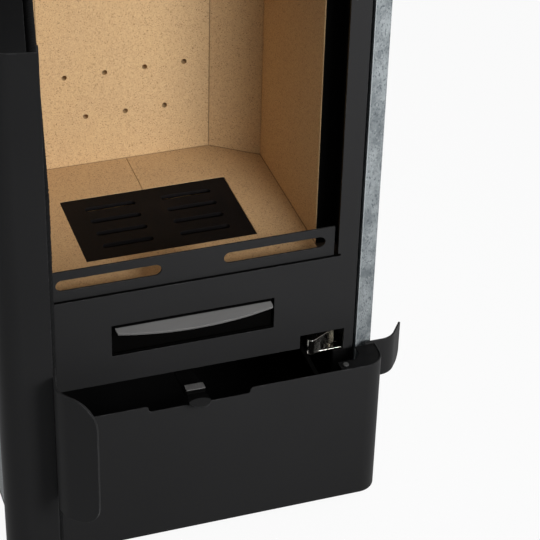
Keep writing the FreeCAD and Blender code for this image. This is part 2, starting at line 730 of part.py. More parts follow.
# Ash housing under the firebox, and the drawer that runs in it with its crescent pull
housing_inner = ash_slot_half_width + housing_gap
housing_outer = housing_inner + housing_sheet
housing_back = drawer_front + drawer_depth + 4
housing_y = (deep(front_thick), deep(housing_back + housing_sheet))
housing_z = (ash_slot_bottom - housing_sheet, bottom_z[0])
housing_box = block("housing_box", (-housing_outer, housing_outer), housing_y, housing_z)
housing_room_z = (ash_slot_bottom, bottom_z[0] + 5)
housing_room_y = (deep(front_thick - 5), deep(housing_back))
housing_room = block("housing_room", (-housing_inner, housing_inner), housing_room_y, housing_room_z)
port_level = (housing_z[0] - 5, housing_z[0] + 5)
port_x = (-air_port_half_width, air_port_half_width)
air_box_y = (deep(air_box_front), deep(air_box_back))
rise_y = (air_box_y[0] + 2 * air_sheet, air_box_y[0] + rise_width)
housing_port = block("housing_port", port_x, rise_y, port_level)
node("ash_housing", cut("ash_housing", housing_box, housing_room, housing_port))

drawer_y = (deep(drawer_front), deep(drawer_front + drawer_depth))
drawer_z = (ash_slot_bottom + drawer_run, drawer_top)
drawer_box = block("drawer_box", (-drawer_half_width, drawer_half_width), drawer_y, drawer_z)
drawer_room_x = drawer_half_width - drawer_sheet
drawer_room_y = (drawer_y[0] + drawer_sheet, drawer_y[1] - drawer_sheet)
drawer_room_z = (drawer_z[0] + drawer_sheet, drawer_top + 5)
drawer_room = block("drawer_room", (-drawer_room_x, drawer_room_x), drawer_room_y, drawer_room_z)
node("ash_drawer", cut("ash_drawer", drawer_box, drawer_room))

pull_z = (pull_level, pull_level + pull_thick)
pull_y = (front - pull_reach, drawer_y[0])
pull_outline = [
    (-pull_half_width, pull_y[0]),
    (pull_half_width, pull_y[0]),
    (pull_half_width, pull_y[1]),
    (-pull_half_width, pull_y[1]),
]
pull_plate = prism("pull_plate", pull_outline, pull_z)
round_upright_edges(
    pull_plate,
    pull_corner + 12,
    (-pull_half_width, pull_y[0]),
    (pull_half_width, pull_y[0]),
)
pull_cut_z = (pull_level - 5, pull_level + 10)
pull_disc = rod("pull_disc", pull_arc_radius, zero, pull_y[0] + pull_arc_radius, pull_cut_z)
pull_shape = doc.addObject("Part::Common", "pull_shape")
pull_shape.Base = pull_plate
pull_shape.Tool = pull_disc
node("ash_pull", pull_shape)

# Air box under the ash housing, with two lipped rails that carry the sliding shutter
air_box_z = (air_box_bottom, housing_z[0])
air_shell = block("air_shell", (-air_box_half_width, air_box_half_width), air_box_y, air_box_z)
air_room_x = air_box_half_width - air_sheet
air_room_y = (air_box_y[0] + air_sheet, air_box_y[1] - air_sheet)
air_room_z = (air_box_bottom + air_sheet, housing_z[0] - air_sheet)
air_room = block("air_room", (-air_room_x, air_room_x), air_room_y, air_room_z)
port_y = (air_box_y[0] + 2 * rail_depth, air_box_y[1] - 2 * rail_depth)
air_port_x = (lever_centre - air_port_half_width, lever_centre + air_port_half_width)
air_port = block("air_port", air_port_x, port_y, (air_box_bottom - 5, air_box_bottom + 5))
rise_port = block("rise_port", port_x, rise_y, port_level)
feed_half = duct_half_width - inlet_wall
feed_y = (air_box_y[1] - 5, air_box_y[1] + 5)
feed_z = (air_box_bottom + inlet_wall, housing_z[0] - inlet_wall)
feed_port = block("feed_port", (-feed_half, feed_half), feed_y, feed_z)
air_hollow = cut("air_hollow", air_shell, air_room, air_port, rise_port, feed_port)
air_pieces = [air_hollow]
rail_z = (air_box_bottom - rail_drop, air_box_bottom)
for end, wall, lip in (
    ("front", (air_box_y[0], air_box_y[0] + rail_lip), (air_box_y[0], air_box_y[0] + rail_depth)),
    ("back", (air_box_y[1] - rail_lip, air_box_y[1]), (air_box_y[1] - rail_depth, air_box_y[1])),
):
    rail_x = (-air_box_half_width, air_box_half_width)
    air_pieces.append(block(f"rail_wall_{end}", rail_x, wall, rail_z))
    air_pieces.append(block(f"rail_lip_{end}", rail_x, lip, (rail_z[0], rail_z[0] + rail_lip)))
node("air_box", join("air_box", *air_pieces))

slide_x = (lever_centre - slide_half_length, lever_centre + slide_half_length)
slide_y = (air_box_y[0] + rail_lip + rail_gap, air_box_y[1] - rail_lip - rail_gap)
slide_z = (rail_z[0] + rail_lip + rail_gap, rail_z[0] + rail_lip + rail_gap + slide_thick)
node("air_slide", block("air_slide", slide_x, slide_y, slide_z))

# Lever of the shutter: a strip that runs low through the store, humps up behind the store door's
# edge and ends in a round thumb tab in the notch
lever_x = (lever_centre - lever_width / 2, lever_centre + lever_width / 2)
thumb_z = (lever_level, lever_level + lever_thick)
tail_z = (lever_level - lever_sink, lever_level - lever_sink + lever_thick)
hump_y = (front - hump_front, front - hump_front + hump_length)
hump_top = lever_level + lever_thick + hump_rise
lever_tail_strip = block("lever_tail_strip", lever_x, (hump_y[1] - lever_thick, deep(lever_tail)), tail_z)
hump_riser_y = (hump_y[1] - lever_thick, hump_y[1])
hump_riser = block("hump_riser", lever_x, hump_riser_y, (tail_z[0], hump_top))
hump_bar = block("hump_bar", lever_x, hump_y, (hump_top - lever_thick, hump_top))
hump_fall_y = (hump_y[0], hump_y[0] + lever_thick)
hump_fall = block("hump_fall", lever_x, hump_fall_y, (lever_level, hump_top))
thumb_strip = block("thumb_strip", lever_x, (front - lever_reach, hump_fall_y[1]), thumb_z)
lever_thumb = rod("lever_thumb", thumb_radius, lever_centre, front - lever_reach, thumb_z)
lever_riser_y = (deep(lever_tail - lever_foot), deep(lever_tail))
lever_riser = block("lever_riser", lever_x, lever_riser_y, (tail_z[0], slide_z[0]))
lever_parts = [lever_tail_strip, hump_riser, hump_bar, hump_fall, thumb_strip, lever_thumb, lever_riser]
node("air_lever", join("air_lever", *lever_parts))

# Fresh air stub in the rear cover, with a riser duct to the back of the air box
duct_y = (air_box_y[1], -front - rear_thick)
duct_x = (-duct_half_width, duct_half_width)
duct_z = (inlet_level - duct_half_width, housing_z[0])
duct_back_y = (-front - rear_thick - 2 * duct_half_width, -front - rear_thick)
duct_solid = join(
    "duct_solid",
    block("duct_run", duct_x, duct_y, (air_box_bottom, housing_z[0])),
    block("duct_riser", duct_x, duct_back_y, duct_z),
    bore("inlet_stub_solid", inlet_radius, zero, (-front - 10, -front + inlet_stub), inlet_level),
)
duct_run_y = (air_box_y[1] - 5, duct_y[1] - inlet_wall)
duct_room_x = (inlet_wall - duct_half_width, duct_half_width - inlet_wall)
duct_room_z = (air_box_bottom + inlet_wall, housing_z[0] - inlet_wall)
riser_room_y = (duct_back_y[0] + inlet_wall, duct_back_y[1] - inlet_wall)
riser_room_z = (duct_z[0] + inlet_wall, housing_z[0] - inlet_wall)
node(
    "air_duct",
    cut(
        "air_duct",
        duct_solid,
        block("duct_room", duct_room_x, duct_run_y, duct_room_z),
        block("riser_room", duct_room_x, riser_room_y, riser_room_z),
        bore("inlet_bore", inlet_radius - inlet_wall, zero, (-front - 20, -front + 60), inlet_level),
    ),
)

# Hinge bracket between the doors, and three hinge pins on one line
bracket_level = (lower_door_top + upper_door_bottom - bracket_thick) / 2
bracket_z = (bracket_level, bracket_level + bracket_thick)
bracket_plate = prism("bracket_plate", bracket_outline, bracket_z)
bracket_cut_z = (bracket_level - 5, bracket_level + 10)
bracket_hole = rod("bracket_hole", pin_radius + pin_fit, hinge_x, hinge_y, bracket_cut_z)
node("hinge_bracket", cut("hinge_bracket", bracket_plate, bracket_hole))
pin_low_z = (foot_height, lower_door_bottom + pin_bite)
node("hinge_pin_low", rod("hinge_pin_low", pin_radius, hinge_x, hinge_y, pin_low_z))
pin_middle_z = (lower_door_top - pin_bite, upper_door_bottom + pin_bite)
node("hinge_pin_middle", rod("hinge_pin_middle", pin_radius, hinge_x, hinge_y, pin_middle_z))
pin_top_z = (upper_door_top - pin_bite, steel_top)
node("hinge_pin_top", rod("hinge_pin_top", pin_radius, hinge_x, hinge_y, pin_top_z))

# Door shells: one bent profile with rounded corners and returned back edges, at two heights.
# Bending the outer and the inner face about the same centre keeps the sheet even through the corner.
flange_x = half_width - door_flange
inner_x = half_width - door_sheet
flange_y = door_back - door_sheet


def door_shell(name, z, back):
    fold = back - door_sheet
    outline = [
        (-half_width, back),
        (-half_width, door_face),
        (half_width, door_face),
        (half_width, back),
        (flange_x, back),
        (flange_x, fold),
        (inner_x, fold),
        (inner_x, door_inside),
        (-inner_x, door_inside),
        (-inner_x, fold),
        (-flange_x, fold),
        (-flange_x, back),
    ]
    shell = prism(name, outline, z)
    round_upright_edges(shell, door_corner, (-half_width, door_face), (half_width, door_face))
    round_upright_edges(shell, door_corner - door_sheet, (-inner_x, door_inside), (inner_x, door_inside))
    return shell


def hinge_plate(name, z, back):
    """A plate in the left corner of a door that turns on a hinge pin."""
    corner = (-inner_x, door_inside)
    plate_end = back - door_sheet - hinge_plate_margin
    outline = [
        corner,
        (-hinge_plate_inner, door_inside),
        (hinge_x + bracket_margin, plate_end),
        (-inner_x, plate_end),
    ]
    plate = prism(f"{name}_plate", outline, z)
    round_upright_edges(plate, door_corner, corner)
    hole = rod(f"{name}_hole", pin_radius + pin_fit, hinge_x, hinge_y, (z[0] - 5, z[1] + 5))
    return cut(name, plate, hole)


lip_start = flange_x + 1


def lip_handle(name, z, back, tip, corner_radius, *heights):
    """A bent strip that leaves the free edge of a door sideways and curls to the rear.
    Its free corners are rounded, seen from the side, at the given local heights."""
    inner_tip = (tip[0] - lip_tip_step_x, tip[1] + lip_tip_step_y)
    outer_bend = (lip_bend, back)
    inner_bend = (lip_bend - lip_bend_step, back + lip_thick)
    outline = [(lip_start, back), outer_bend, tip, inner_tip, inner_bend, (lip_start, back + lip_thick)]
    lip = prism(name, outline, z)
    round_upright_edges(lip, lip_bend_round + lip_thick, outer_bend)
    round_upright_edges(lip, lip_bend_round, inner_bend)
    bent = lip.Tip
    names = []
    for index, edge in enumerate(bent.Shape.Edges):
        points = [vertex.Point for vertex in edge.Vertexes]
        for height in heights:
            level = all(abs(point.z - height.value) < 0.01 for point in points)
            at_tip = all(any(near(point, x, y) for x, y in (tip, inner_tip)) for point in points)
            if level and at_tip:
                names.append(f"Edge{index + 1}")
    corner = lip.newObject("PartDesign::Fillet", f"{lip.Name}_corner")
    corner.Base = (bent, names)
    bind(corner, "Radius", corner_radius)
    lip.Tip = corner
    doc.recompute()
    return lip


# Lower door, shut at rest, with the round-ended notch that the air lever passes through
lower_z = (lower_door_bottom, lower_door_top)
lower_blank = door_shell("lower_blank", lower_z, door_back)
notch_y = (door_face - 5, door_inside + 5)
notch_floor = lower_door_top - notch_depth
lower_notch = block("lower_notch", (notch_left, notch_right), notch_y, (notch_floor, lower_door_top + 5))
notched_shell = cut("notched_shell", lower_blank, lower_notch)
doc.recompute()
lower_shell = doc.addObject("Part::Fillet", "lower_shell")
lower_shell.Base = notched_shell
notch_edges = []
for index, edge in enumerate(notched_shell.Shape.Edges):
    points = [vertex.Point for vertex in edge.Vertexes]
    ends = (notch_left.value, notch_right.value)
    at_end = all(min(abs(point.x - end) for end in ends) < 0.01 for point in points)
    across = len(points) == 2 and abs(points[0].y - points[1].y) > door_sheet.value / 2
    if at_end and across:
        notch_edges.append((index + 1, notch_round.value, notch_round.value))
lower_shell.Edges = notch_edges
node("lower_door_shell", lower_shell)
lower_tip = (lip_tip_reach, deep(lip_tip_depth))
lower_lip_z = (lower_door_top - lower_lip_height, lower_door_top)
node("lower_door_lip", lip_handle("lower_lip", lower_lip_z, door_back, lower_tip, lower_lip_corner, zero))
lower_top_plate_z = (lower_door_top - hinge_plate_thick, lower_door_top)
node("lower_hinge_plate_top", hinge_plate("lower_hinge_plate_top", lower_top_plate_z, door_back))
lower_low_plate_z = (lower_door_bottom, lower_door_bottom + hinge_plate_thick)
node("lower_hinge_plate_low", hinge_plate("lower_hinge_plate_low", lower_low_plate_z, door_back))

catch_x = (latch_left + catch_inset, latch_left + catch_inset + catch_width)
catch_outline = [
    (catch_x[0], door_inside),
    (catch_x[1], door_inside),
    (catch_x[1], deep(catch_reach)),
    (catch_x[0], deep(catch_reach)),
]
lower_catch_top = lower_door_top - catch_inset
node("lower_catch", prism("lower_catch", catch_outline, (lower_catch_top - catch_height, lower_catch_top)))
gusset_z = (lower_door_top - gusset_drop - door_sheet, lower_door_top - gusset_drop)
gusset_outline = [
    (gusset_end, door_inside),
    (inner_x, door_inside),
    (inner_x, flange_y),
    (inner_x - gusset_side, flange_y),
    (inner_x - gusset_side, door_inside + 3 * gusset_front),
    (inner_x - gusset_side - gusset_front, door_inside + 2 * gusset_front),
    (gusset_end, door_inside + 2 * gusset_front),
]
gusset_plate = prism("gusset_plate", gusset_outline, gusset_z)
round_upright_edges(gusset_plate, door_corner, (inner_x, door_inside))
stop_pin_z = (gusset_z[1] - door_sheet, lower_door_top + 1)
stop_pin = rod("stop_pin", stop_pin_radius, gusset_end + 8, door_inside + gusset_front, stop_pin_z)
node("lower_gusset", join("lower_gusset", gusset_plate, stop_pin))

# Firebox door, drawn shut and then swung to its open rest angle
upper_z = (upper_door_bottom, upper_door_top)
upper_blank = door_shell("upper_blank", upper_z, upper_back)
view_x = (-view_half_width, view_half_width)
view_hole = block("view_hole", view_x, (door_face - 5, door_inside + 5), (view_bottom, view_top))
node("upper_door_shell", swing_open(cut("upper_door_shell", upper_blank, view_hole)))
upper_tip = (half_width + upper_lip_reach, deep(upper_lip_tip_depth))
upper_lip_z = (upper_lip_bottom, upper_lip_top)
upper_lip_ends = (zero, upper_lip_top - upper_lip_bottom)
upper_lip = lip_handle("upper_lip", upper_lip_z, upper_back, upper_tip, upper_lip_corner, *upper_lip_ends)
node("upper_door_lip", swing_open(upper_lip))
upper_top_plate_z = (upper_door_top - hinge_plate_thick, upper_door_top)
node("upper_hinge_plate_top", swing_open(hinge_plate("upper_hinge_plate_top", upper_top_plate_z, upper_back)))
upper_low_plate_z = (upper_door_bottom, upper_door_bottom + hinge_plate_thick)
node("upper_hinge_plate_low", swing_open(hinge_plate("upper_hinge_plate_low", upper_low_plate_z, upper_back)))
upper_catch_low = upper_door_bottom + catch_inset
upper_catch = prism("upper_catch", catch_outline, (upper_catch_low, upper_catch_low + catch_height))
node("upper_catch", swing_open(upper_catch))

glass_half = view_half_width + glass_overlap
glass_y = (door_inside + gasket_thick, door_inside + gasket_thick + glass_thick)
glass_z = (view_bottom - glass_overlap, view_top + glass_overlap)
glass_outline = [
    (-glass_half, glass_y[0]),
    (glass_half, glass_y[0]),
    (glass_half, glass_y[1]),
    (-glass_half, glass_y[1]),
]
node("door_glass", swing_open(prism("door_glass", glass_outline, glass_z)))

gasket_y = (door_inside, glass_y[0])
gasket_outer = block("gasket_outer", (-glass_half, glass_half), gasket_y, glass_z)
gasket_inner_x = glass_half - gasket_width
gasket_room_y = (gasket_y[0] - 5, gasket_y[1] + 5)
gasket_room_z = (glass_z[0] + gasket_width, glass_z[1] - gasket_width)
gasket_room = block("gasket_room", (-gasket_inner_x, gasket_inner_x), gasket_room_y, gasket_room_z)
node("glass_gasket", swing_open(cut("glass_gasket", gasket_outer, gasket_room)))

frame_half = glass_half + frame_gap + frame_wall
frame_room = glass_half + frame_gap
frame_z = (glass_z[0] - frame_gap - frame_wall, glass_z[1] + frame_gap + frame_wall)
frame_room_z = (glass_z[0] - frame_gap, glass_z[1] + frame_gap)
frame_back = door_back - frame_gap
frame_solid = block("frame_solid", (-frame_half, frame_half), (door_inside, frame_back), frame_z)
frame_room_y = (door_inside - 5, frame_back - frame_wall)
frame_hollow = block("frame_hollow", (-frame_room, frame_room), frame_room_y, frame_room_z)
frame_open_x = frame_room - frame_flange
frame_open_z = (frame_room_z[0] + frame_flange, frame_room_z[1] - frame_flange)
frame_window_y = (frame_back - 20, frame_back + 5)
frame_window = block("frame_window", (-frame_open_x, frame_open_x), frame_window_y, frame_open_z)
frame_ring = cut("frame_ring", frame_solid, frame_hollow, frame_window)
frame_pieces = [frame_ring]
clip_y = (glass_y[1], glass_y[1] + frame_wall)
for index, share in enumerate((0.12, 0.5, 0.88)):
    middle = glass_z[0] + share * (glass_z[1] - glass_z[0])
    clip_z = (middle - clip_length / 2, middle + clip_length / 2)
    for side, sign in (("left", -1), ("right", 1)):
        clip_x = mirrored(sign, frame_room - clip_reach, frame_room + 1)
        frame_pieces.append(block(f"clip_{side}_{index}", clip_x, clip_y, clip_z))
node("upper_door_frame", swing_open(join("upper_door_frame", *frame_pieces)))

rope_y = (frame_back, front - rope_gap)
rope_outer = block("rope_outer", (-frame_half, frame_half), rope_y, frame_z)
rope_inner_x = frame_half - rope_width
rope_inner_y = (rope_y[0] - 5, rope_y[1] + 5)
rope_inner_z = (frame_z[0] + rope_width, frame_z[1] - rope_width)
rope_inner = block("rope_inner", (-rope_inner_x, rope_inner_x), rope_inner_y, rope_inner_z)
rope_ring = cut("rope_ring", rope_outer, rope_inner)
doc.recompute()
rope = doc.addObject("Part::Fillet", "rope")
rope.Base = rope_ring
rope_edges = []
for index, edge in enumerate(rope_ring.Shape.Edges):
    start, end = [vertex.Point for vertex in edge.Vertexes]
    if abs(start.y - end.y) < 0.01:
        rope_edges.append((index + 1, rope_round.value, rope_round.value))
rope.Edges = rope_edges
node("door_seal", swing_open(rope))

# Sprung latch: a cup behind the latch window, its pin, the tongue and the coil that presses it
cup_y = (deep(front_thick), deep(latch_cup_depth))
cup_z = (latch_bottom - latch_sheet, latch_top + latch_sheet)
cup_solid = block("cup_solid", (latch_left + 10, latch_right + 8), cup_y, cup_z)
cup_room_x = (latch_left, latch_right + 8 - latch_sheet)
cup_room_y = (deep(front_thick - 5), deep(latch_cup_depth + 5))
cup_room = block("cup_room", cup_room_x, cup_room_y, (latch_bottom, latch_top))
node("latch_cup", cut("latch_cup", cup_solid, cup_room))
latch_pivot_y = deep(latch_pivot_depth)
latch_pin_z = (latch_bottom, latch_top)
node("latch_pin", rod("latch_pin", latch_pin_radius, latch_pivot_x, latch_pivot_y, latch_pin_z))

tongue_z = (latch_bottom + latch_run, latch_top - 3 * latch_run)
nose_y = deep(latch_nose_depth)
tongue_nose = rod("tongue_nose", latch_nose_radius, latch_nose_x, nose_y, tongue_z)
tongue_hub = rod("tongue_hub", latch_nose_radius, latch_pivot_x, latch_pivot_y, tongue_z)
arm_dx = latch_pivot_x - latch_nose_x
arm_dy = latch_pivot_depth - latch_nose_depth
arm_length = (arm_dx.value ** 2 + arm_dy.value ** 2) ** 0.5
side_x = arm_dy * latch_nose_radius / arm_length
side_y = arm_dx * latch_nose_radius / arm_length
tongue_outline = [
    (latch_nose_x - side_x, nose_y + side_y),
    (latch_nose_x + side_x, nose_y - side_y),
    (latch_pivot_x + side_x, latch_pivot_y - side_y),
    (latch_pivot_x - side_x, latch_pivot_y + side_y),
]
tongue_arm = prism("tongue_arm", tongue_outline, tongue_z)
tongue_solid = join("tongue_solid", tongue_nose, tongue_hub, tongue_arm)
tongue_bore_z = (latch_bottom - 5, latch_top + 5)
tongue_bore = rod("tongue_bore", latch_pin_radius + pin_fit, latch_pivot_x, latch_pivot_y, tongue_bore_z)
node("latch_tongue", cut("latch_tongue", tongue_solid, tongue_bore))


def biarc(start, leaving, end, meeting):
    """Two arcs that join two points and are tangent there to the two given directions."""
    span = end - start
    along = span.dot(leaving + meeting)
    spread = 2 * (1 - leaving.dot(meeting))
    reach = ((along**2 + spread * span.dot(span)) ** 0.5 - along) / spread
    middle = (start + end + (leaving - meeting) * reach) * 0.5
    bulges = []
    for first, way in ((start, leaving), (end, meeting * -1)):
        chord = middle - first
        half_way = (way + chord * (1 / chord.Length)).normalize()
        bulges.append(first + half_way * (chord.Length / 2 / way.dot(half_way)))
    return [Part.Arc(start, bulges[0], middle).toShape(), Part.Arc(middle, bulges[1], end).toShape()]


# The coil sits on the latch pin, between the tongue and the roof of the cup
doc.recompute()
coil_radius, wire_half = spring_radius.value, spring_wire.value
coil_base = tongue_z[1].value + spring_gap.value + wire_half
coil_top = latch_top.value - spring_gap.value - wire_half
coil_pitch = (coil_top - coil_base) / spring_turns.value
coil_points = []
for quarter in range(int(4 * spring_turns.value) + 1):
    angle = math.radians(90 * quarter)
    out = Vector(math.cos(angle), math.sin(angle), 0)
    way = Vector(-math.sin(angle), math.cos(angle), coil_pitch / (2 * math.pi * coil_radius)).normalize()
    coil_points.append((out * coil_radius + Vector(0, 0, coil_pitch * quarter / 4), way))
coil_arcs = []
for (start, leaving), (end, meeting) in zip(coil_points, coil_points[1:]):
    coil_arcs += biarc(start, leaving, end, meeting)
wire_start, wire_way = coil_points[0]
wire_out = Vector(wire_half, 0, 0)
wire_up = wire_out.cross(wire_way)
wire_sides = ((-1, -1), (1, -1), (1, 1), (-1, 1), (-1, -1))
wire_corners = [wire_start + wire_out * x + wire_up * z for x, z in wire_sides]
coil = doc.addObject("Part::Feature", "coil")
coil.Shape = Part.Wire(coil_arcs).makePipeShell([Part.makePolygon(wire_corners)], True, False)
coil.Placement.Base = Vector(latch_pivot_x.value, latch_pivot_y.value, coil_base)
node("latch_spring", coil)
turn_gaps = [(b[0] - a[0]).Length - 2 * wire_half for a, b in zip(coil_points, coil_points[4:])]
print(f"least gap between the spring's turns {min(turn_gaps):.2f} mm")

doc.recompute()
for piece in nodes:
    if "Invalid" in piece.State or "Error" in piece.State:
        raise ValueError(f"{piece.Label} did not compute: {piece.State}")
    if piece.Shape.isNull() or not piece.Shape.isValid():
        raise ValueError(f"{piece.Label} has no valid shape")
    if len(piece.Shape.Solids) != 1:
        raise ValueError(f"{piece.Label} holds {len(piece.Shape.Solids)} solids")
    piece.Shape.exportStep(f"parts/{piece.Label}.step")
print(f"{len(nodes)} pieces written to parts")
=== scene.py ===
# %% [markdown]
# # A steel wood stove
# The stove is a tall box of black sheet with a lined firebox, stone slabs on its
# sides and two bent doors on one hinge line. The solids come from the packed frame,
# so every size is settled before Blender starts. This lesson adds what a camera sees:
# broken edges, rope seals, small screws, finishes, light and a view.

# %% Load the frame
import json
import math

import bmesh
import bpy
from mathutils import Matrix, Vector

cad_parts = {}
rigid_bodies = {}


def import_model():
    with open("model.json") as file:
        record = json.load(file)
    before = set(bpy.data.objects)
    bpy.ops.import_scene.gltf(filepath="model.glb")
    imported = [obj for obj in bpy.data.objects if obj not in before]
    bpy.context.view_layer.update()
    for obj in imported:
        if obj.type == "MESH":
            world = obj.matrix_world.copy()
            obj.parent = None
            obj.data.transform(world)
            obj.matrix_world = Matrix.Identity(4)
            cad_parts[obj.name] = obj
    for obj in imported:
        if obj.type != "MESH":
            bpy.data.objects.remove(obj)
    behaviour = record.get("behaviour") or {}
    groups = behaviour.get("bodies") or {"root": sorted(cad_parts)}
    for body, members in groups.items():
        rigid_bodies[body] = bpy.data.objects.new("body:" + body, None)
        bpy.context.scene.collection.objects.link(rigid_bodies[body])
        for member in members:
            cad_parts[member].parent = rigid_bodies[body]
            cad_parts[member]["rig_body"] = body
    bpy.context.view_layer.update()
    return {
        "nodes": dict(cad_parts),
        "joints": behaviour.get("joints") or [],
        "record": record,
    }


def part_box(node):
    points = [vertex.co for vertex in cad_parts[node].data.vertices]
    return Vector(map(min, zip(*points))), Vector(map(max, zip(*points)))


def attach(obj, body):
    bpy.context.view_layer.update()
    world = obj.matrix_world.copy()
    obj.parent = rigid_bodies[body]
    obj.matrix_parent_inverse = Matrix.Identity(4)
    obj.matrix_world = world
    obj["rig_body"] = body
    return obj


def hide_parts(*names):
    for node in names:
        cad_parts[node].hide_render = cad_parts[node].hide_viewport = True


for spare in list(bpy.data.objects):
    bpy.data.objects.remove(spare)
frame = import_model()
nodes = frame["nodes"]
slot_of = {part["node"]: part["material_slot"] for part in frame["record"]["subparts"]}

# %% [markdown]
# ## The view
# The photo looks down on the front from the stove's left, through a long lens.
# A camera can be aimed by a constraint or by a matrix. The three angles of this view
# were worked out from the corners of the front plate, so the matrix is written from them.

# %% Camera
view_point = Vector((-0.65905, -2.3544, 1.98908))
yaw, pitch, roll = (math.radians(a) for a in (19.61, 34.93, 1.77))
ahead = Vector((math.sin(yaw) * math.cos(pitch), math.cos(yaw) * math.cos(pitch), -math.sin(pitch)))
level = Vector((math.cos(yaw), -math.sin(yaw), 0.0))
upright = level.cross(ahead)
across = level * math.cos(roll) + upright * math.sin(roll)
upward = upright * math.cos(roll) - level * math.sin(roll)

camera = bpy.data.objects.new("camera", bpy.data.cameras.new("camera"))
camera.data.sensor_width = 36.0
camera.data.lens = 137.3
camera.data.clip_end = 50.0
turn = Matrix((across, upward, -ahead)).transposed()
camera.matrix_world = Matrix.Translation(view_point) @ turn.to_4x4()
bpy.context.scene.collection.objects.link(camera)
bpy.context.scene.camera = camera
bpy.context.scene.view_settings.view_transform = "Standard"
print("camera", tuple(round(v, 3) for v in view_point))

# %% [markdown]
# ## Sums on sockets
# Finishes and node trees are mostly sums. Adding each Math node by hand hides the idea,
# so a socket is wrapped in a small class whose operators add the node for us.
# One method makes every other kind of node: its type, its settings, then its sockets.


# %% Value and graph
class Value:
    """A socket that takes part in plain arithmetic."""

    def __init__(self, graph, socket):
        self.graph = graph
        self.socket = socket

    def __add__(self, other):
        return self.graph.maths("ADD", self, other)

    def __radd__(self, other):
        return self.graph.maths("ADD", other, self)

    def __sub__(self, other):
        return self.graph.maths("SUBTRACT", self, other)

    def __rsub__(self, other):
        return self.graph.maths("SUBTRACT", other, self)

    def __mul__(self, other):
        return self.graph.maths("MULTIPLY", self, other)

    def __rmul__(self, other):
        return self.graph.maths("MULTIPLY", other, self)

    def __truediv__(self, other):
        return self.graph.maths("DIVIDE", self, other)

def find(sockets, key):
    if isinstance(key, int):
        return sockets[key]
    return next(s for s in sockets if key in (s.identifier, s.name))


class Graph:
    """A node tree that is filled one node at a time."""

    def __init__(self, tree):
        self.tree = tree

    def node(self, kind, settings=None, sockets=None, output=0):
        made = self.tree.nodes.new(kind)
        for key, value in (settings or {}).items():
            setattr(made, key, value)
        for key, value in (sockets or {}).items():
            target = find(made.inputs, key)
            for part in value if isinstance(value, list) else [value]:
                if isinstance(part, Value):
                    self.tree.links.new(part.socket, target)
                else:
                    target.default_value = part
        return Value(self, find(made.outputs, output)) if made.outputs else made

    def maths(self, operation, a, b=0.0):
        return self.node("ShaderNodeMath", {"operation": operation}, {0: a, 1: b})

    def vector(self, operation, a, b, key=1):
        return self.node("ShaderNodeVectorMath", {"operation": operation}, {0: a, key: b})


print("operators", [name for name in vars(Value) if name.startswith("__r")])

# %% [markdown]
# ## One finish
# A finish is a Principled shader with a few noises in front of it. All of them read
# Object coordinates, which are metres here, so a noise of scale 1000 has grains of
# about a millimetre. Broken edges carry an attribute that lets a finish wear there.


# %% Finish
class Finish(Graph):
    """A material whose patterns are written as sums."""

    def __init__(self, name):
        self.material = bpy.data.materials.new(name)
        self.material.use_nodes = True
        super().__init__(self.material.node_tree)
        self.tree.nodes.clear()
        self.place = self.node("ShaderNodeTexCoord", output="Object")

    def noise(self, scale, detail=2.0, place=None, rough=0.5):
        sockets = {"Vector": place or self.place, "Scale": scale, "Detail": detail, "Roughness": rough}
        return self.node("ShaderNodeTexNoise", None, sockets)

    def cells(self, scale, place=None, output="Distance"):
        sockets = {"Vector": place or self.place, "Scale": scale}
        return self.node("ShaderNodeTexVoronoi", None, sockets, output)

    def chance(self, scale, place=None):
        colour = self.cells(scale, place, "Color")
        return self.node("ShaderNodeSeparateColor", None, {"Color": colour})

    def bent(self, scale, detail, reach):
        sockets = {"Vector": self.place, "Scale": scale, "Detail": detail}
        push = self.node("ShaderNodeTexNoise", None, sockets, "Color")
        return self.vector("ADD", self.place, self.vector("SCALE", push, reach, "Scale"))

    def stretched(self, *sizes):
        return self.vector("MULTIPLY", self.place, sizes)

    def axis(self, name):
        return self.node("ShaderNodeSeparateXYZ", None, {"Vector": self.place}, name)

    def edge(self):
        return self.node("ShaderNodeAttribute", {"attribute_name": "edge"}, output="Fac")

    def between(self, value, low, high, start=0.0, end=1.0):
        sockets = {"Value": value, "From Min": low, "From Max": high, "To Min": start, "To Max": end}
        return self.node("ShaderNodeMapRange", {"interpolation_type": "SMOOTHSTEP"}, sockets)

    def mix(self, share, first, second):
        sockets = {"Factor_Float": share}
        for key, tone in (("A_Color", first), ("B_Color", second)):
            sockets[key] = tone if isinstance(tone, Value) else (*tone, 1.0)
        return self.node("ShaderNodeMix", {"data_type": "RGBA"}, sockets, "Result_Color")

    def bump(self, height, distance, strength=1.0):
        sockets = {"Height": height, "Distance": distance, "Strength": strength}
        return self.node("ShaderNodeBump", None, sockets)

    def done(self, colour, roughness, **more):
        sockets = {"Base Color": colour, "Roughness": roughness}
        sockets.update({key.replace("_", " "): value for key, value in more.items()})
        shader = self.node("ShaderNodeBsdfPrincipled", None, sockets)
        self.node("ShaderNodeOutputMaterial", None, {"Surface": shader})
        print("finish", self.material.name, len(self.tree.nodes), "nodes")
        return self.material


finishes = {}

# %% [markdown]
# ## Black stove paint and dark sheet
# Stove paint is a matt silicone paint with a fine sandy grain. It is sprayed, so it
# has soft clouds a hand wide, and it thins and polishes on corners. The sheet inside is
# the same idea, duller, and so dark that its colour is painted shade inside the stove.
# Some pieces carry painted shade, where a share that follows the height turns part of them nearly black.

# %% Paints
nearly_black = (0.0015, 0.0015, 0.0015)


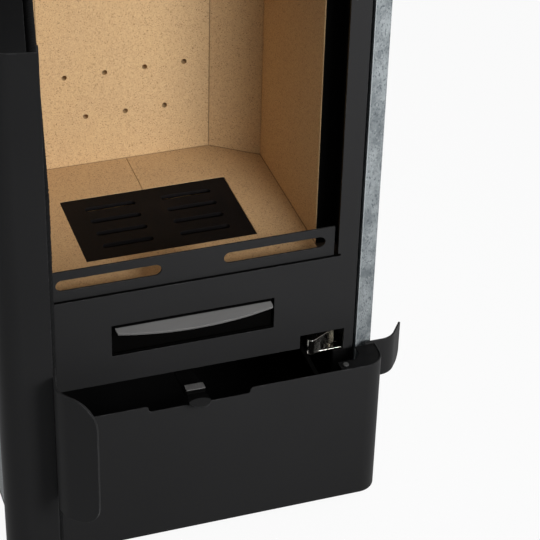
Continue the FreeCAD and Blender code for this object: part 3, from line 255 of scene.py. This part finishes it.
def paint(name, dark, light, sheen, gloss, painted_light=None, rubbed_and_highlight=None):
    finish = Finish(name)
    cloud = finish.noise(7.0, 3.0)
    grain = finish.noise(1500.0, 2.0)
    sand = finish.noise(480.0, 3.0)
    worn = finish.edge() * finish.between(finish.noise(160.0, 4.0), 0.45, 0.75)
    tone = finish.mix(cloud * 0.5 + grain * 0.5, dark, light)
    colour = finish.mix(worn * 0.55, tone, tuple(3.2 * v for v in light))
    # A share of painted shade turns the colour nearly black here.
    if painted_light:
        colour = finish.mix(painted_light(finish), colour, nearly_black)
    # The top of the gusset's stop pin is a paler grey: rubbed steel and a painted highlight.
    if rubbed_and_highlight:
        colour = finish.mix(rubbed_and_highlight(finish), colour, (0.055, 0.055, 0.054))
    rough = sheen + 0.16 * (cloud - 0.5) + 0.1 * (sand - 0.5) - 0.12 * worn
    relief = finish.bump(grain * 0.6 + sand * 0.4, 0.00035, 0.35)
    return finish.done(colour, rough, Normal=relief, Specular_IOR_Level=gloss)


black, grey = (0.0138, 0.0138, 0.0142), (0.0215, 0.0215, 0.0219)
# Nearly black tones of the inner sheet, as painted shade for the unlit inside.
inner_shade_black, inner_shade_brown = (0.0006, 0.0006, 0.0006), (0.0018, 0.0017, 0.0016)
finishes["black_paint"] = paint("black_paint", black, grey, 0.5, 0.05)
finishes["dark_steel"] = paint("dark_steel", inner_shade_black, inner_shade_brown, 0.7, 0.015)

# %% [markdown]
# Painted shade darkens the front plate behind the store door and on its cut faces, the log
# retainer below the air slit, and the gusset in its corner, but not the top of its stop pin,
# which is rubbed steel with a painted highlight. Each share is a function of place. The ends
# of the solids are read from the frame.

# %% Paint with a place
plate_low, plate_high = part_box("front_plate")
plate_front, plate_side = plate_low.y, plate_high.x
pin_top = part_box("lower_gusset")[1].z
store_line, slit_bottom = 0.2365, 0.398


# Painted shade: below the store line and on the cut faces the plate turns nearly black.
def shade_behind_store_door(finish):
    low = finish.between(finish.axis("Z"), store_line, store_line + 0.0015, 0.9, 0.0)
    cut_faces = finish.between(finish.axis("Y"), plate_front + 0.0003, plate_front + 0.0008)
    within = finish.between(finish.axis("X"), plate_side - 0.0015, plate_side - 0.0005, 1.0, 0.0)
    return finish.maths("MAXIMUM", low, cut_faces * within)


# Painted shade: the retainer below the air slit turns nearly black.
def shade_under_slit(finish):
    return finish.between(finish.axis("Z"), slit_bottom - 0.0005, slit_bottom + 0.0005, 0.95, 0.0)


# Painted shade in the gusset's corner.
def shade_in_the_corner(finish):
    return finish.between(finish.noise(60.0, 2.0), 0.2, 0.8, 0.7, 0.9)


# The top of the stop pin: rubbed steel, and a painted highlight where light falls on it.
def on_stop_pin(finish):
    return finish.between(finish.axis("Z"), pin_top - 0.002, pin_top - 0.0015)


own = {
    "front_plate": paint("plate_paint", black, grey, 0.5, 0.05, shade_behind_store_door),
    "log_retainer": paint("retainer_paint", black, grey, 0.5, 0.05, shade_under_slit),
    "lower_gusset": paint("gusset_paint", black, grey, 0.56, 0.04, shade_in_the_corner, on_stop_pin),
    "rear_cover": finishes["black_paint"],
}

# %% [markdown]
# ## Bare metals
# The latch is bright steel, rolled and brushed along its length. The feet and the air
# stub are zinc plated, with the crystals of the plating. Brushing is a noise that is
# squeezed across the grain. The ash pull is blasted to a satin grey; painted shade darkens
# its faces below the top and turns the part that lies in the slot nearly black.


# %% Metals
def metal(name, dark, light, sheen, squeeze, grain_size, depth):
    finish = Finish(name)
    streak = finish.noise(grain_size, 3.0, finish.stretched(*squeeze))
    cloud = finish.noise(26.0, 3.0)
    spot = finish.between(finish.noise(310.0, 2.0), 0.62, 0.78)
    tone = finish.mix(streak * 0.6 + cloud * 0.4, dark, light)
    colour = finish.mix(spot * 0.25, tone, dark)
    rough = sheen + 0.18 * (streak - 0.5) + 0.14 * spot
    relief = finish.bump(streak, depth, 0.4)
    return finish.done(colour, rough, Metallic=1.0, Normal=relief)


finishes["bright_steel"] = metal(
    "bright_steel", (0.47, 0.455, 0.415), (0.71, 0.69, 0.64), 0.16, (1.0, 0.06, 1.0), 900.0, 0.00008
)
finishes["foot"] = metal(
    "foot", (0.3, 0.31, 0.33), (0.5, 0.51, 0.53), 0.42, (1.0, 1.0, 1.0), 140.0, 0.0001
)
own["air_duct"] = finishes["foot"]
pull_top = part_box("ash_pull")[1].z


def satin_grey():
    finish = Finish("satin_grey")
    blast = finish.noise(1300.0, 2.0)
    cloud = finish.noise(18.0, 3.0)
    worn = finish.edge()
    tone = finish.mix(blast * 0.5 + cloud * 0.5, (0.146, 0.143, 0.141), (0.24, 0.236, 0.231))
    colour = finish.mix(worn * 0.15, tone, (0.2, 0.196, 0.19))
    # Painted shade: the faces below the top darken toward nearly black, and the part in the slot turns nearly
    # black.
    below_top_shade = finish.between(finish.axis("Z"), pull_top - 0.0006, pull_top - 0.0001, 0.42, 0.0)
    slot_shade = finish.between(finish.axis("Y"), plate_front + 0.0008, plate_front + 0.0018)
    colour = finish.mix(finish.maths("MAXIMUM", below_top_shade, slot_shade), colour, nearly_black)
    relief = finish.bump(blast, 0.0002, 0.3)
    rough = 0.56 + 0.15 * (cloud - 0.5)
    return finish.done(colour, rough, Metallic=0.08, Normal=relief, Specular_IOR_Level=0.08)


finishes["grey_steel"] = satin_grey()

# %% [markdown]
# The lever is painted on its thumb tab. Painted shade turns its tail, the risers of its
# steps and the tab behind a flat oval nearly black. The hump between them is rubbed bare
# where it slides under the firebox door, and its paler bare colour is also a painted
# highlight on that bend. The heights of its steps tell these apart.

# %% Lever
lever_low, lever_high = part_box("air_lever")
tail_top, tab_top, hump_top = lever_low.z + 0.003, lever_low.z + 0.009, lever_high.z
oval_wide, oval_deep = 0.0165, 0.0098
oval_x, oval_y = (lever_low.x + lever_high.x) / 2, lever_low.y + 0.0095


def rubbed_lever():
    finish = Finish("rubbed_lever")
    height = finish.axis("Z")
    # Rubbed bare steel on the top of the hump, which is also a painted highlight.
    rubbed_and_highlight = finish.between(height, hump_top - 0.0008, hump_top - 0.0002)
    # Painted shade: the tail, the risers and the tab past the oval turn nearly black.
    tail_shade = finish.between(height, tail_top + 0.0015, tail_top + 0.0025, 1.0, 0.0)
    riser_shade = finish.between(height, tab_top + 0.0001, tab_top + 0.0006)
    aside = (finish.axis("X") - oval_x) / oval_wide
    back = (finish.axis("Y") - oval_y) / oval_deep
    past_oval_shade = finish.between(aside * aside + back * back, 0.85, 1.05)
    painted_shade = finish.maths("MAXIMUM", finish.maths("MAXIMUM", tail_shade, riser_shade), past_oval_shade)
    grain = finish.noise(1500.0, 2.0)
    scratch = finish.noise(700.0, 3.0, finish.stretched(1.0, 0.08, 1.0))
    colour = finish.mix(painted_shade, finish.mix(grain, black, (0.03, 0.03, 0.0305)), nearly_black)
    # The bare colour of the hump: rubbed steel that also paints its highlight.
    painted_light = finish.mix(scratch, (0.07, 0.069, 0.068), (0.3, 0.296, 0.29))
    colour = finish.mix(rubbed_and_highlight, colour, painted_light)
    rough = 0.48 - 0.1 * rubbed_and_highlight + 0.3 * painted_shade + 0.1 * (scratch - 0.5)
    relief = finish.bump(grain * 0.6 + scratch * 0.4, 0.0003, 0.3)
    return finish.done(colour, rough, Metallic=rubbed_and_highlight, Normal=relief, Specular_IOR_Level=0.03)


own["air_lever"] = rubbed_lever()

# %% [markdown]
# ## Cast iron
# The grate is cast in sand, so its skin is pitted and never quite flat. Brown comes
# through on the edges where ash is raked over it. Pits are cells with a soft rim.


# %% Iron
def cast_iron():
    finish = Finish("cast_iron")
    pit = finish.between(finish.cells(620.0), 0.1, 0.45)
    sand = finish.noise(900.0, 4.0)
    cloud = finish.noise(22.0, 4.0)
    brown = finish.between(cloud, 0.5, 0.75)
    tone = finish.mix(sand, (0.0031, 0.0027, 0.0029), (0.0078, 0.0069, 0.0071))
    colour = finish.mix(brown * 0.3 + finish.edge() * 0.3, tone, (0.014, 0.0105, 0.0095))
    relief = finish.bump(sand * 0.5 + pit * 0.5, 0.0006, 0.5)
    return finish.done(colour, 0.62 + 0.16 * (sand - 0.5), Normal=relief, Specular_IOR_Level=0.05)


finishes["iron"] = cast_iron()

# %% [markdown]
# ## Soapstone
# The side slabs are honed soapstone: grey, with darker mineral specks, pale talc
# clouds and a few thin veins. A vein is the narrow band where a noise crosses its
# middle value. The eased edges are paler, as a painted highlight where they round over.


# %% Stone
def soapstone():
    finish = Finish("soapstone")
    bent = finish.bent(9.0, 3.0, 0.05)
    grain = finish.vector("MULTIPLY", bent, (1.0, 1.0, 0.55))
    cloud = finish.noise(48.0, 6.0, grain, 0.66)
    speck = finish.between(finish.noise(420.0, 4.0, grain), 0.52, 0.66)
    mica = finish.between(finish.chance(520.0), 0.9, 0.97)
    ridge = finish.maths("ABSOLUTE", finish.noise(11.0, 4.0, bent) - 0.5)
    vein = finish.between(ridge, 0.0, 0.012, 1.0, 0.0)
    tone = finish.mix(finish.between(cloud, 0.3, 0.7), (0.098, 0.111, 0.119), (0.23, 0.251, 0.259))
    tone = finish.mix(speck * 0.85, tone, (0.066, 0.077, 0.084))
    tone = finish.mix(vein * 0.15, tone, (0.4, 0.42, 0.42))
    tone = finish.mix(mica * 0.2, tone, (0.42, 0.44, 0.44))
    # Painted highlight: the eased edge strips are mixed toward pale grey.
    colour = finish.mix(finish.edge() * 0.45, tone, (0.5, 0.53, 0.54))
    rough = 0.52 + 0.2 * (cloud - 0.5) - 0.15 * mica
    relief = finish.bump(cloud * 0.5 - speck * 0.4 + finish.noise(1100.0) * 0.3, 0.0004, 0.4)
    return finish.done(colour, rough, Normal=relief, Specular_IOR_Level=0.25)


finishes["stone"] = soapstone()

# %% [markdown]
# ## Vermiculite board
# The lining is pressed from golden flakes one to four millimetres wide. Each flake has
# its own shade, and a few are dark mica or small open pores. Cells with a random
# number each give the flakes, at two sizes so that no single size shows. Ash and shade
# gather in the joints, which are the lines where the floor comes near a wall. Painted
# shade darkens the floor just behind the retainer and in front of the trims.

# %% Joints and painted shade of the lining
side_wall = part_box("right_lining")[0].x
back_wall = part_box("back_lining")[0].y
floor_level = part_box("floor_right")[1].z
corner_low, corner_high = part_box("rear_right_lining")
slant = Vector((corner_high.y - corner_low.y, corner_high.x - corner_low.x)).normalized()
slant_reach = slant.x * corner_low.x + slant.y * corner_high.y
trim_low, trim_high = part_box("lining_trim_right")
retainer_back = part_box("log_retainer")[1].y


def in_joints(finish, across, depth):
    """The share of ash and shade in the joints between floor, walls and corner boards."""
    to_side = side_wall - across
    to_back = back_wall - depth
    to_corner = slant_reach - slant.x * across - slant.y * depth
    nearest = finish.maths("MINIMUM", to_side, finish.maths("MINIMUM", to_back, to_corner))
    floor_top = finish.between(finish.axis("Z"), floor_level + 0.0002, floor_level + 0.001, 1.0, 0.0)
    level = floor_top * finish.between(nearest, 0.0009, 0.0015, 1.0, 0.0)
    seam = finish.between(finish.maths("ABSOLUTE", across - corner_low.x), 0.0005, 0.001, 1.0, 0.0)
    at_back = finish.between(depth, back_wall - 0.0019, back_wall - 0.0007)
    return finish.maths("MAXIMUM", level, seam * at_back)


def shade_at_mouth(finish, across, depth):
    """The share of painted shade on the floor by the retainer and the trims."""
    aside = finish.between(across, trim_low.x - 0.0033, trim_low.x - 0.0003)
    by_trim = finish.between(depth, trim_high.y - 0.002, trim_high.y - 0.001, 0.95, 0.0)
    by_retainer = finish.between(depth, retainer_back - 0.0015, retainer_back + 0.0085, 0.95, 0.0)
    return finish.maths("MAXIMUM", aside * by_trim, by_retainer)


# %% Lining boards
def vermiculite():
    finish = Finish("vermiculite")
    bent = finish.bent(300.0, 2.0, 0.0035)
    flake = finish.chance(700.0, bent)
    crumb = finish.chance(1500.0, bent)
    dark = finish.between(finish.chance(1000.0, bent), 0.92, 0.95)
    grit = finish.between(finish.noise(820.0, 3.0), 0.5, 0.68)
    pore = finish.between(finish.cells(620.0, bent), 0.05, 0.14, 1.0, 0.0)
    cloud = finish.noise(16.0, 3.0)
    across, depth = finish.maths("ABSOLUTE", finish.axis("X")), finish.axis("Y")
    tone = finish.mix(flake * 0.6 + crumb * 0.4, (0.448, 0.292, 0.152), (0.61, 0.425, 0.232))
    tone = finish.mix(finish.between(cloud, 0.3, 0.7) * 0.3, tone, (0.58, 0.396, 0.2))
    tone = finish.mix(grit * 0.42, tone, (0.3, 0.186, 0.09))
    tone = finish.mix(dark * 0.75, tone, (0.17, 0.1, 0.048))
    tone = finish.mix(pore * 0.6, tone, (0.18, 0.11, 0.052))
    tone = finish.mix(finish.edge() * 0.2, tone, (0.62, 0.46, 0.27))
    tone = finish.mix(in_joints(finish, across, depth) * 0.6, tone, (0.11, 0.065, 0.032))
    # Painted shade: the floor by the retainer and the trims turns nearly black.
    colour = finish.mix(shade_at_mouth(finish, across, depth), tone, (0.012, 0.009, 0.007))
    height = flake * 0.35 + crumb * 0.3 - pore * 0.6 + finish.noise(1300.0) * 0.3
    relief = finish.bump(height, 0.0006, 0.5)
    return finish.done(colour, 0.86 - 0.12 * flake, Normal=relief, Specular_IOR_Level=0.2)


finishes["vermiculite"] = vermiculite()

# %% [markdown]
# ## Glass and rope
# The window is clear glass ceramic with a faint warm tint and a little haze. The seals
# are braided glass rope, dark grey, with fine fibres that catch the light.


# %% Glass and rope
def glass_ceramic():
    finish = Finish("glass_ceramic")
    haze = finish.noise(14.0, 4.0)
    colour = finish.mix(haze, (0.9, 0.9, 0.87), (0.97, 0.97, 0.95))
    rough = 0.02 + 0.05 * finish.between(haze, 0.5, 0.8)
    return finish.done(colour, rough, Transmission_Weight=1.0, IOR=1.47)


def glass_rope():
    finish = Finish("glass_rope")
    fibre = finish.noise(1900.0, 3.0, finish.stretched(1.0, 1.0, 0.5))
    cloud = finish.noise(90.0, 2.0)
    colour = finish.mix(fibre * 0.7 + cloud * 0.3, (0.003, 0.003, 0.0032), (0.016, 0.016, 0.0165))
    return finish.done(colour, 0.85, Normal=finish.bump(fibre, 0.0004, 0.6), Specular_IOR_Level=0.04)


finishes["glass"] = glass_ceramic()
finishes["rope"] = glass_rope()
for name, solid in nodes.items():
    solid.data.materials.clear()
    solid.data.materials.append(own.get(name, finishes[slot_of[name]]))

# %% [markdown]
# ## Broken edges
# No sheet, board or slab has a perfect corner: sheet is deburred, boards crumble a
# little and stone is eased. A Bevel modifier could round them live, but here a copy of
# the solid is bevelled once, and the new strips are marked so that finishes wear there.

# %% Bevelled copies
eased = {
    "black_paint": 0.0005,
    "dark_steel": 0.0004,
    "bright_steel": 0.0004,
    "grey_steel": 0.0002,
    "iron": 0.0009,
    "stone": 0.0012,
    "vermiculite": 0.0006,
    "glass": 0.0006,
    "foot": 0.0005,
}
unseen = (
    "firebox_", "air_box", "air_slide", "air_duct", "air_wash", "hinge_pin", "latch_pin", "latch_spring",
)
flat_angle, corner_angle = math.radians(0.4), math.radians(40)
pieces = {}


def keep(name, mesh, body, slot, *replaced):
    """A finished mesh becomes a piece that rides on its body."""
    piece = bpy.data.objects.new(name, mesh)
    bpy.context.scene.collection.objects.link(piece)
    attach(piece, body)
    if replaced:
        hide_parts(*replaced)
    pieces[name] = piece


def ease(name, width):
    shape = bmesh.new()
    shape.from_mesh(nodes[name].data)
    bmesh.ops.remove_doubles(shape, verts=shape.verts, dist=1e-6)
    bmesh.ops.dissolve_limit(shape, angle_limit=flat_angle, verts=shape.verts, edges=shape.edges)
    corners = [e for e in shape.edges if len(e.link_faces) == 2 and e.calc_face_angle() > corner_angle]
    mark = shape.faces.layers.float.new("edge")
    strips = bmesh.ops.bevel(
        shape, geom=corners, offset=width, segments=2, profile=0.5, affect="EDGES", clamp_overlap=True
    )
    for face in strips["faces"]:
        face[mark] = 1.0
    mesh = bpy.data.meshes.new(name + "_eased")
    shape.to_mesh(mesh)
    shape.free()
    mesh.materials.append(own.get(name, finishes[slot_of[name]]))
    mesh.shade_smooth()
    draft = bpy.data.objects.new(name + "_draft", mesh)
    bpy.context.scene.collection.objects.link(draft)
    draft.modifiers.new("faces_first", "WEIGHTED_NORMAL").weight = 100
    view = draft.evaluated_get(bpy.context.evaluated_depsgraph_get())
    final = bpy.data.meshes.new_from_object(view)
    bpy.data.objects.remove(draft)
    return final


for name in sorted(nodes):
    slot = slot_of[name]
    if slot in eased and not name.startswith(unseen):
        keep(name + "_eased", ease(name, eased[slot]), nodes[name]["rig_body"], slot, name)
print("eased", len(pieces), "pieces")

# %% [markdown]
# ## Rope seals
# The firebox door is sealed by a braided rope in its frame, and its glass is bedded on
# a thin flat tape of small cords. Both follow a rounded rectangle. A tree turns such a
# path into strands: each strand is the path pushed out by a turning angle, with a
# round section. The number of turns is whole, so that the ends meet. The door's joint
# turns the other way round Z, so its shut limit is also the turn from shut to rest.

# %% Rope tree
door_joint = next(joint for joint in frame["joints"] if joint["name"] == "firebox_door_hinge")
hinge = Vector(door_joint["pos_m"])
door_open = math.radians(door_joint["range_deg"][0])
shut_to_rest = Matrix.Translation(hinge) @ Matrix.Rotation(door_open, 4, "Z") @ Matrix.Translation(-hinge)
lay_share, strand_share, least_corner, bend_steps = 0.36, 0.64, 0.012, 8


def tree_with(name, **inputs):
    tree = bpy.data.node_groups.new(name, "GeometryNodeTree")
    tree.interface.new_socket("Geometry", in_out="INPUT", socket_type="NodeSocketGeometry")
    tree.interface.new_socket("Geometry", in_out="OUTPUT", socket_type="NodeSocketGeometry")
    for key, kind in inputs.items():
        tree.interface.new_socket(key, in_out="INPUT", socket_type="NodeSocket" + kind)
    start = tree.nodes.new("NodeGroupInput")
    graph = Graph(tree)
    return graph, {s.name: Value(graph, s) for s in start.outputs if s.name}


def run_tree(name, source, graph, **values):
    """The tree's result on an object, as a plain mesh."""
    modifier = source.modifiers.new(name, "NODES")
    modifier.node_group = graph.tree
    for item in graph.tree.interface.items_tree:
        if item.in_out == "INPUT" and item.name in values:
            modifier[item.identifier] = values[item.name]
    view = source.evaluated_get(bpy.context.evaluated_depsgraph_get())
    mesh = bpy.data.meshes.new_from_object(view)
    source.modifiers.remove(modifier)
    bpy.data.objects.remove(source)
    return mesh


def rope_tree(strands):
    graph, given = tree_with(
        "rope_of_%d" % strands, Step="Float", Turns="Float", Lay="Float", Strand="Float", Finish="Material"
    )
    path = graph.node(
        "GeometryNodeResampleCurve", {"mode": "LENGTH"}, {"Curve": given["Geometry"], "Length": given["Step"]}
    )
    along = graph.node("GeometryNodeSplineParameter", output="Factor")
    out = graph.node("GeometryNodeInputNormal")
    side = graph.vector("CROSS_PRODUCT", graph.node("GeometryNodeInputTangent"), out)
    section = graph.node(
        "GeometryNodeCurvePrimitiveCircle", None, {"Resolution": 7, "Radius": given["Strand"]}, "Curve"
    )
    made = []
    for index in range(strands):
        angle = along * given["Turns"] * math.tau + index * math.tau / strands
        reach = graph.vector("SCALE", out, given["Lay"] * graph.maths("COSINE", angle), "Scale")
        swing = graph.vector("SCALE", side, given["Lay"] * graph.maths("SINE", angle), "Scale")
        wound = graph.node(
            "GeometryNodeSetPosition", None, {"Geometry": path, "Offset": graph.vector("ADD", reach, swing)}
        )
        made.append(graph.node("GeometryNodeCurveToMesh", None, {"Curve": wound, "Profile Curve": section}))
    whole = graph.node("GeometryNodeJoinGeometry", None, {"Geometry": made})
    plain = graph.node("GeometryNodeRealizeInstances", None, {"Geometry": whole})
    dressed = graph.node(
        "GeometryNodeSetMaterial", None, {"Geometry": plain, "Material": given["Finish"]}
    )
    graph.node("NodeGroupOutput", None, {"Geometry": dressed})
    return graph


# %% [markdown]
# The ring is drawn with the door shut, where it is a plain upright rectangle, and then
# turned to the open rest with the door. Its size is read from the solid it stands for.


# %% Rope rings
def shut_box(node):
    points = [shut_to_rest.inverted() @ v.co for v in nodes[node].data.vertices]
    low = Vector([min(p[i] for p in points) for i in range(3)])
    high = Vector([max(p[i] for p in points) for i in range(3)])
    return low, high


def ring_path(name, low, high, inset, depth, corner):
    left, right, bottom, top = low.x + inset, high.x - inset, low.z + inset, high.z - inset
    points = []
    for x, z, start in (
        (right - corner, bottom + corner, -90),
        (right - corner, top - corner, 0),
        (left + corner, top - corner, 90),
        (left + corner, bottom + corner, 180),
    ):
        for step in range(bend_steps + 1):
            angle = math.radians(start + step * 90 / bend_steps)
            points.append(Vector((x + corner * math.cos(angle), depth, z + corner * math.sin(angle))))
    curve = bpy.data.curves.new(name, "CURVE")
    curve.dimensions = "3D"
    spline = curve.splines.new("POLY")
    spline.points.add(len(points) - 1)
    for slot_point, point in zip(spline.points, points):
        slot_point.co = (*(shut_to_rest @ point), 1.0)
    spline.use_cyclic_u = True
    path = bpy.data.objects.new(name, curve)
    bpy.context.scene.collection.objects.link(path)
    around = 2 * (right - left + top - bottom) - (8 - math.tau) * corner
    return path, around


def rope(name, node, insets, thick, pitch, strands, step):
    low, high = shut_box(node)
    graph = rope_tree(strands)
    whole = bmesh.new()
    for inset in insets:
        middle, corner = (low.y + high.y) / 2, least_corner + thick - inset * 0.5
        path, around = ring_path(name + "_path", low, high, inset, middle, corner)
        mesh = run_tree(
            "strands", path, graph, Step=step, Turns=float(round(around / pitch)), Lay=thick * lay_share,
            Strand=thick * strand_share, Finish=finishes["rope"],
        )
        whole.from_mesh(mesh)
    bmesh.ops.recalc_face_normals(whole, faces=whole.faces)
    mesh = bpy.data.meshes.new(name)
    whole.to_mesh(mesh)
    whole.free()
    mesh.materials.append(finishes["rope"])
    mesh.shade_smooth()
    keep(name, mesh, "firebox_door", "rope", node)
    print(name, len(mesh.polygons), "faces, ring", [round(v, 4) for v in high - low])


rope("door_rope", "door_seal", (0.006,), thick=0.006, pitch=0.024, strands=4, step=0.0025)
rope("glass_tape", "glass_gasket", (0.002, 0.006, 0.010), thick=0.0015, pitch=0.01, strands=2, step=0.0025)

# %% [markdown]
# ## Screws and a weld
# Button-head screws hold the rear cover and the firebox door's inner frame, and a weld
# bead runs round the foot of the flue collar. Screws and bead ripples repeat, so one
# head and one ripple are modelled and a tree sets a copy on every point of a list.
# Each point carries the direction that its copy faces.


# %% Repeats
def lathe(name, rings):
    """A solid of rings round Z; a ring is a radius, a height and the number of its flats."""
    shape = bmesh.new()
    steps = 24
    last = None
    for radius, height, flats in rings:
        ring = []
        for step in range(steps):
            angle = math.tau * step / steps
            half = math.pi / flats if flats else 0.0
            bend = math.cos(half) / math.cos((angle + half) % (2 * half) - half) if flats else 1.0
            point = (radius * bend * math.cos(angle), radius * bend * math.sin(angle), height)
            ring.append(shape.verts.new(point))
        for step in range(steps if last else 0):
            after = (step + 1) % steps
            shape.faces.new((last[step], last[after], ring[after], ring[step]))
        last = ring
    shape.faces.new(last)
    shape.faces.new(list(reversed(list(shape.verts)[:steps])))
    bmesh.ops.recalc_face_normals(shape, faces=shape.faces)
    mesh = bpy.data.meshes.new(name)
    shape.to_mesh(mesh)
    shape.free()
    return bpy.data.objects.new(name, mesh)


def repeat_tree():
    graph, given = tree_with("repeat", Copy="Object", Size="Float", Finish="Material")
    facing = graph.node(
        "GeometryNodeInputNamedAttribute", {"data_type": "FLOAT_VECTOR"}, {"Name": "facing"}
    )
    turned = graph.node("FunctionNodeAlignRotationToVector", {"axis": "Z"}, {"Vector": facing})
    copy = graph.node("GeometryNodeObjectInfo", None, {"Object": given["Copy"]}, "Geometry")
    scale = graph.node("ShaderNodeCombineXYZ", None, {axis: given["Size"] for axis in "XYZ"})
    set_out = graph.node(
        "GeometryNodeInstanceOnPoints",
        None,
        {"Points": given["Geometry"], "Instance": copy, "Rotation": turned, "Scale": scale},
    )
    plain = graph.node("GeometryNodeRealizeInstances", None, {"Geometry": set_out})
    dressed = graph.node("GeometryNodeSetMaterial", None, {"Geometry": plain, "Material": given["Finish"]})
    graph.node("NodeGroupOutput", None, {"Geometry": dressed})
    return graph


repeats = repeat_tree()


def repeat(name, copy, places, size, slot, body):
    mesh = bpy.data.meshes.new(name + "_points")
    mesh.from_pydata([place for place, facing in places], [], [])
    layer = mesh.attributes.new("facing", "FLOAT_VECTOR", "POINT")
    for entry, (place, facing) in zip(layer.data, places):
        entry.vector = facing
    source = bpy.data.objects.new(name + "_points", mesh)
    bpy.context.scene.collection.objects.link(source)
    made = run_tree(name, source, repeats, Copy=copy, Size=size, Finish=finishes[slot])
    made.shade_smooth()
    made.set_sharp_from_angle(angle=math.radians(38))
    keep(name, made, body, slot)
    print(name, len(places), "copies,", len(made.polygons), "faces")


# %% Screws and bead
mm = 0.001
head = lathe("screw_head", [
    (3.6 * mm, 0.0, 0), (3.6 * mm, 0.5 * mm, 0), (3.2 * mm, 1.2 * mm, 0), (2.5 * mm, 1.6 * mm, 0),
    (2.0 * mm, 1.75 * mm, 6), (2.0 * mm, 0.5 * mm, 6),
])
bead = lathe("bead_ripple", [
    (3.0 * mm, 0.0, 0), (2.7 * mm, 1.2 * mm, 0), (1.8 * mm, 2.1 * mm, 0), (0.7 * mm, 2.6 * mm, 0),
])
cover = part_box("rear_cover")[1]
rear_x, rear_face = cover.x - 6.0 * mm, cover.y
rear_heights = [(70.0 + 190.0 * step) * mm for step in range(6)]
rear = [(side * rear_x, rear_face, z) for side in (-1, 1) for z in rear_heights]
repeat("rear_screws", head, [(place, (0.0, 1.0, 0.0)) for place in rear], 1.0, "foot", "stove_body")
door_frame = shut_box("upper_door_frame")[1]
frame_x, frame_face, frame_heights = door_frame.x - 18.0 * mm, door_frame.y, (0.44, 0.54, 0.64, 0.74, 0.82)
inner = [(side * frame_x, frame_face, z) for side in (-1, 1) for z in frame_heights]
door_turn = shut_to_rest.to_3x3()
inner = [(shut_to_rest @ Vector(place), door_turn @ Vector((0.0, 1.0, 0.0))) for place in inner]
repeat("frame_screws", head, inner, 0.9, "bright_steel", "firebox_door")
flue = next(mount for mount in frame["record"]["mounts"] if mount["name"] == "flue")
ripples, collar_radius, collar_y = 110, flue["dims"]["r_mm"] * mm, flue["pos_m"][1]
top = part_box("top_plate")[1].z
foot_ring = []
for step in range(ripples):
    angle = math.tau * step / ripples
    out = Vector((math.cos(angle), math.sin(angle), 0.0))
    place = Vector((0.0, collar_y, top)) + collar_radius * out
    foot_ring.append((place, out + Vector((0.0, 0.0, 1.0))))
repeat("collar_weld", bead, foot_ring, 1.0, "black_paint", "stove_body")

# %% [markdown]
# ## Floor and light
# A pale floor, a soft lamp in front and a weak one at the left give even studio light.
# The floor and the world are white to the camera, in reflections and through glass,
# and stay grey as lamps, so the background is bright and the stove isn't flooded.


# %% Floor
def white_to_eyes(graph):
    ray = graph.tree.nodes.new("ShaderNodeLightPath")
    kinds = ("Is Camera Ray", "Is Glossy Ray", "Is Transmission Ray")
    camera_ray, glossy_ray, glass_ray = (Value(graph, ray.outputs[kind]) for kind in kinds)
    return graph.maths("MAXIMUM", camera_ray, graph.maths("MAXIMUM", glossy_ray, glass_ray))


def floor_finish():
    finish = Finish("pale_floor")
    cloud = finish.noise(1.4, 2.0)
    pale = finish.mix(cloud, (0.84, 0.84, 0.84), (0.88, 0.88, 0.88))
    reach = finish.node("ShaderNodeVectorMath", {"operation": "LENGTH"}, {0: finish.place}, "Value")
    dull = finish.mix(finish.between(reach, 0.5, 2.4), (0.06, 0.06, 0.06), (0.4, 0.4, 0.4))
    eyes = white_to_eyes(finish)
    matt = finish.node("ShaderNodeBsdfDiffuse", None, {"Color": finish.mix(eyes, dull, pale)})
    glow = finish.node("ShaderNodeEmission", None, {"Color": (1.0, 1.0, 1.0, 1.0), "Strength": 1.0})
    both = finish.node("ShaderNodeMixShader", None, {0: eyes * 0.92, 1: matt, 2: glow})
    finish.node("ShaderNodeOutputMaterial", None, {"Surface": both})
    return finish.material


bpy.ops.mesh.primitive_plane_add(size=14.0)
floor = bpy.context.object
floor.name = "floor"
floor.data.materials.append(floor_finish())

# %% Lamps and world
world = bpy.data.worlds.new("studio")
bpy.context.scene.world = world
world.use_nodes = True
world.node_tree.nodes.clear()
sky = Graph(world.node_tree)
dim = sky.node("ShaderNodeBackground", None, {"Color": (0.96, 0.98, 1.0, 1.0), "Strength": 0.42})
bright = sky.node("ShaderNodeBackground", None, {"Color": (1.0, 1.0, 1.0, 1.0), "Strength": 1.0})
both = sky.node("ShaderNodeMixShader", None, {0: white_to_eyes(sky), 1: dim, 2: bright})
sky.node("ShaderNodeOutputWorld", None, {"Surface": both})


def lamp(name, place, aim, size, power, spread=180.0):
    light = bpy.data.lights.new(name, "AREA")
    light.shape = "DISK"
    light.size = size
    light.energy = power
    light.spread = math.radians(spread)
    piece = bpy.data.objects.new(name, light)
    piece.location = place
    piece.rotation_euler = (Vector(aim) - Vector(place)).to_track_quat("-Z", "Y").to_euler()
    bpy.context.scene.collection.objects.link(piece)


lamp("key", (0.62, -1.9, 1.3), (0.12, 0.1, 0.58), size=0.9, power=7.0, spread=60.0)
lamp("fill", (-2.6, -2.2, 2.0), (0.0, -0.1, 0.55), size=1.6, power=5.0)

# %% [markdown]
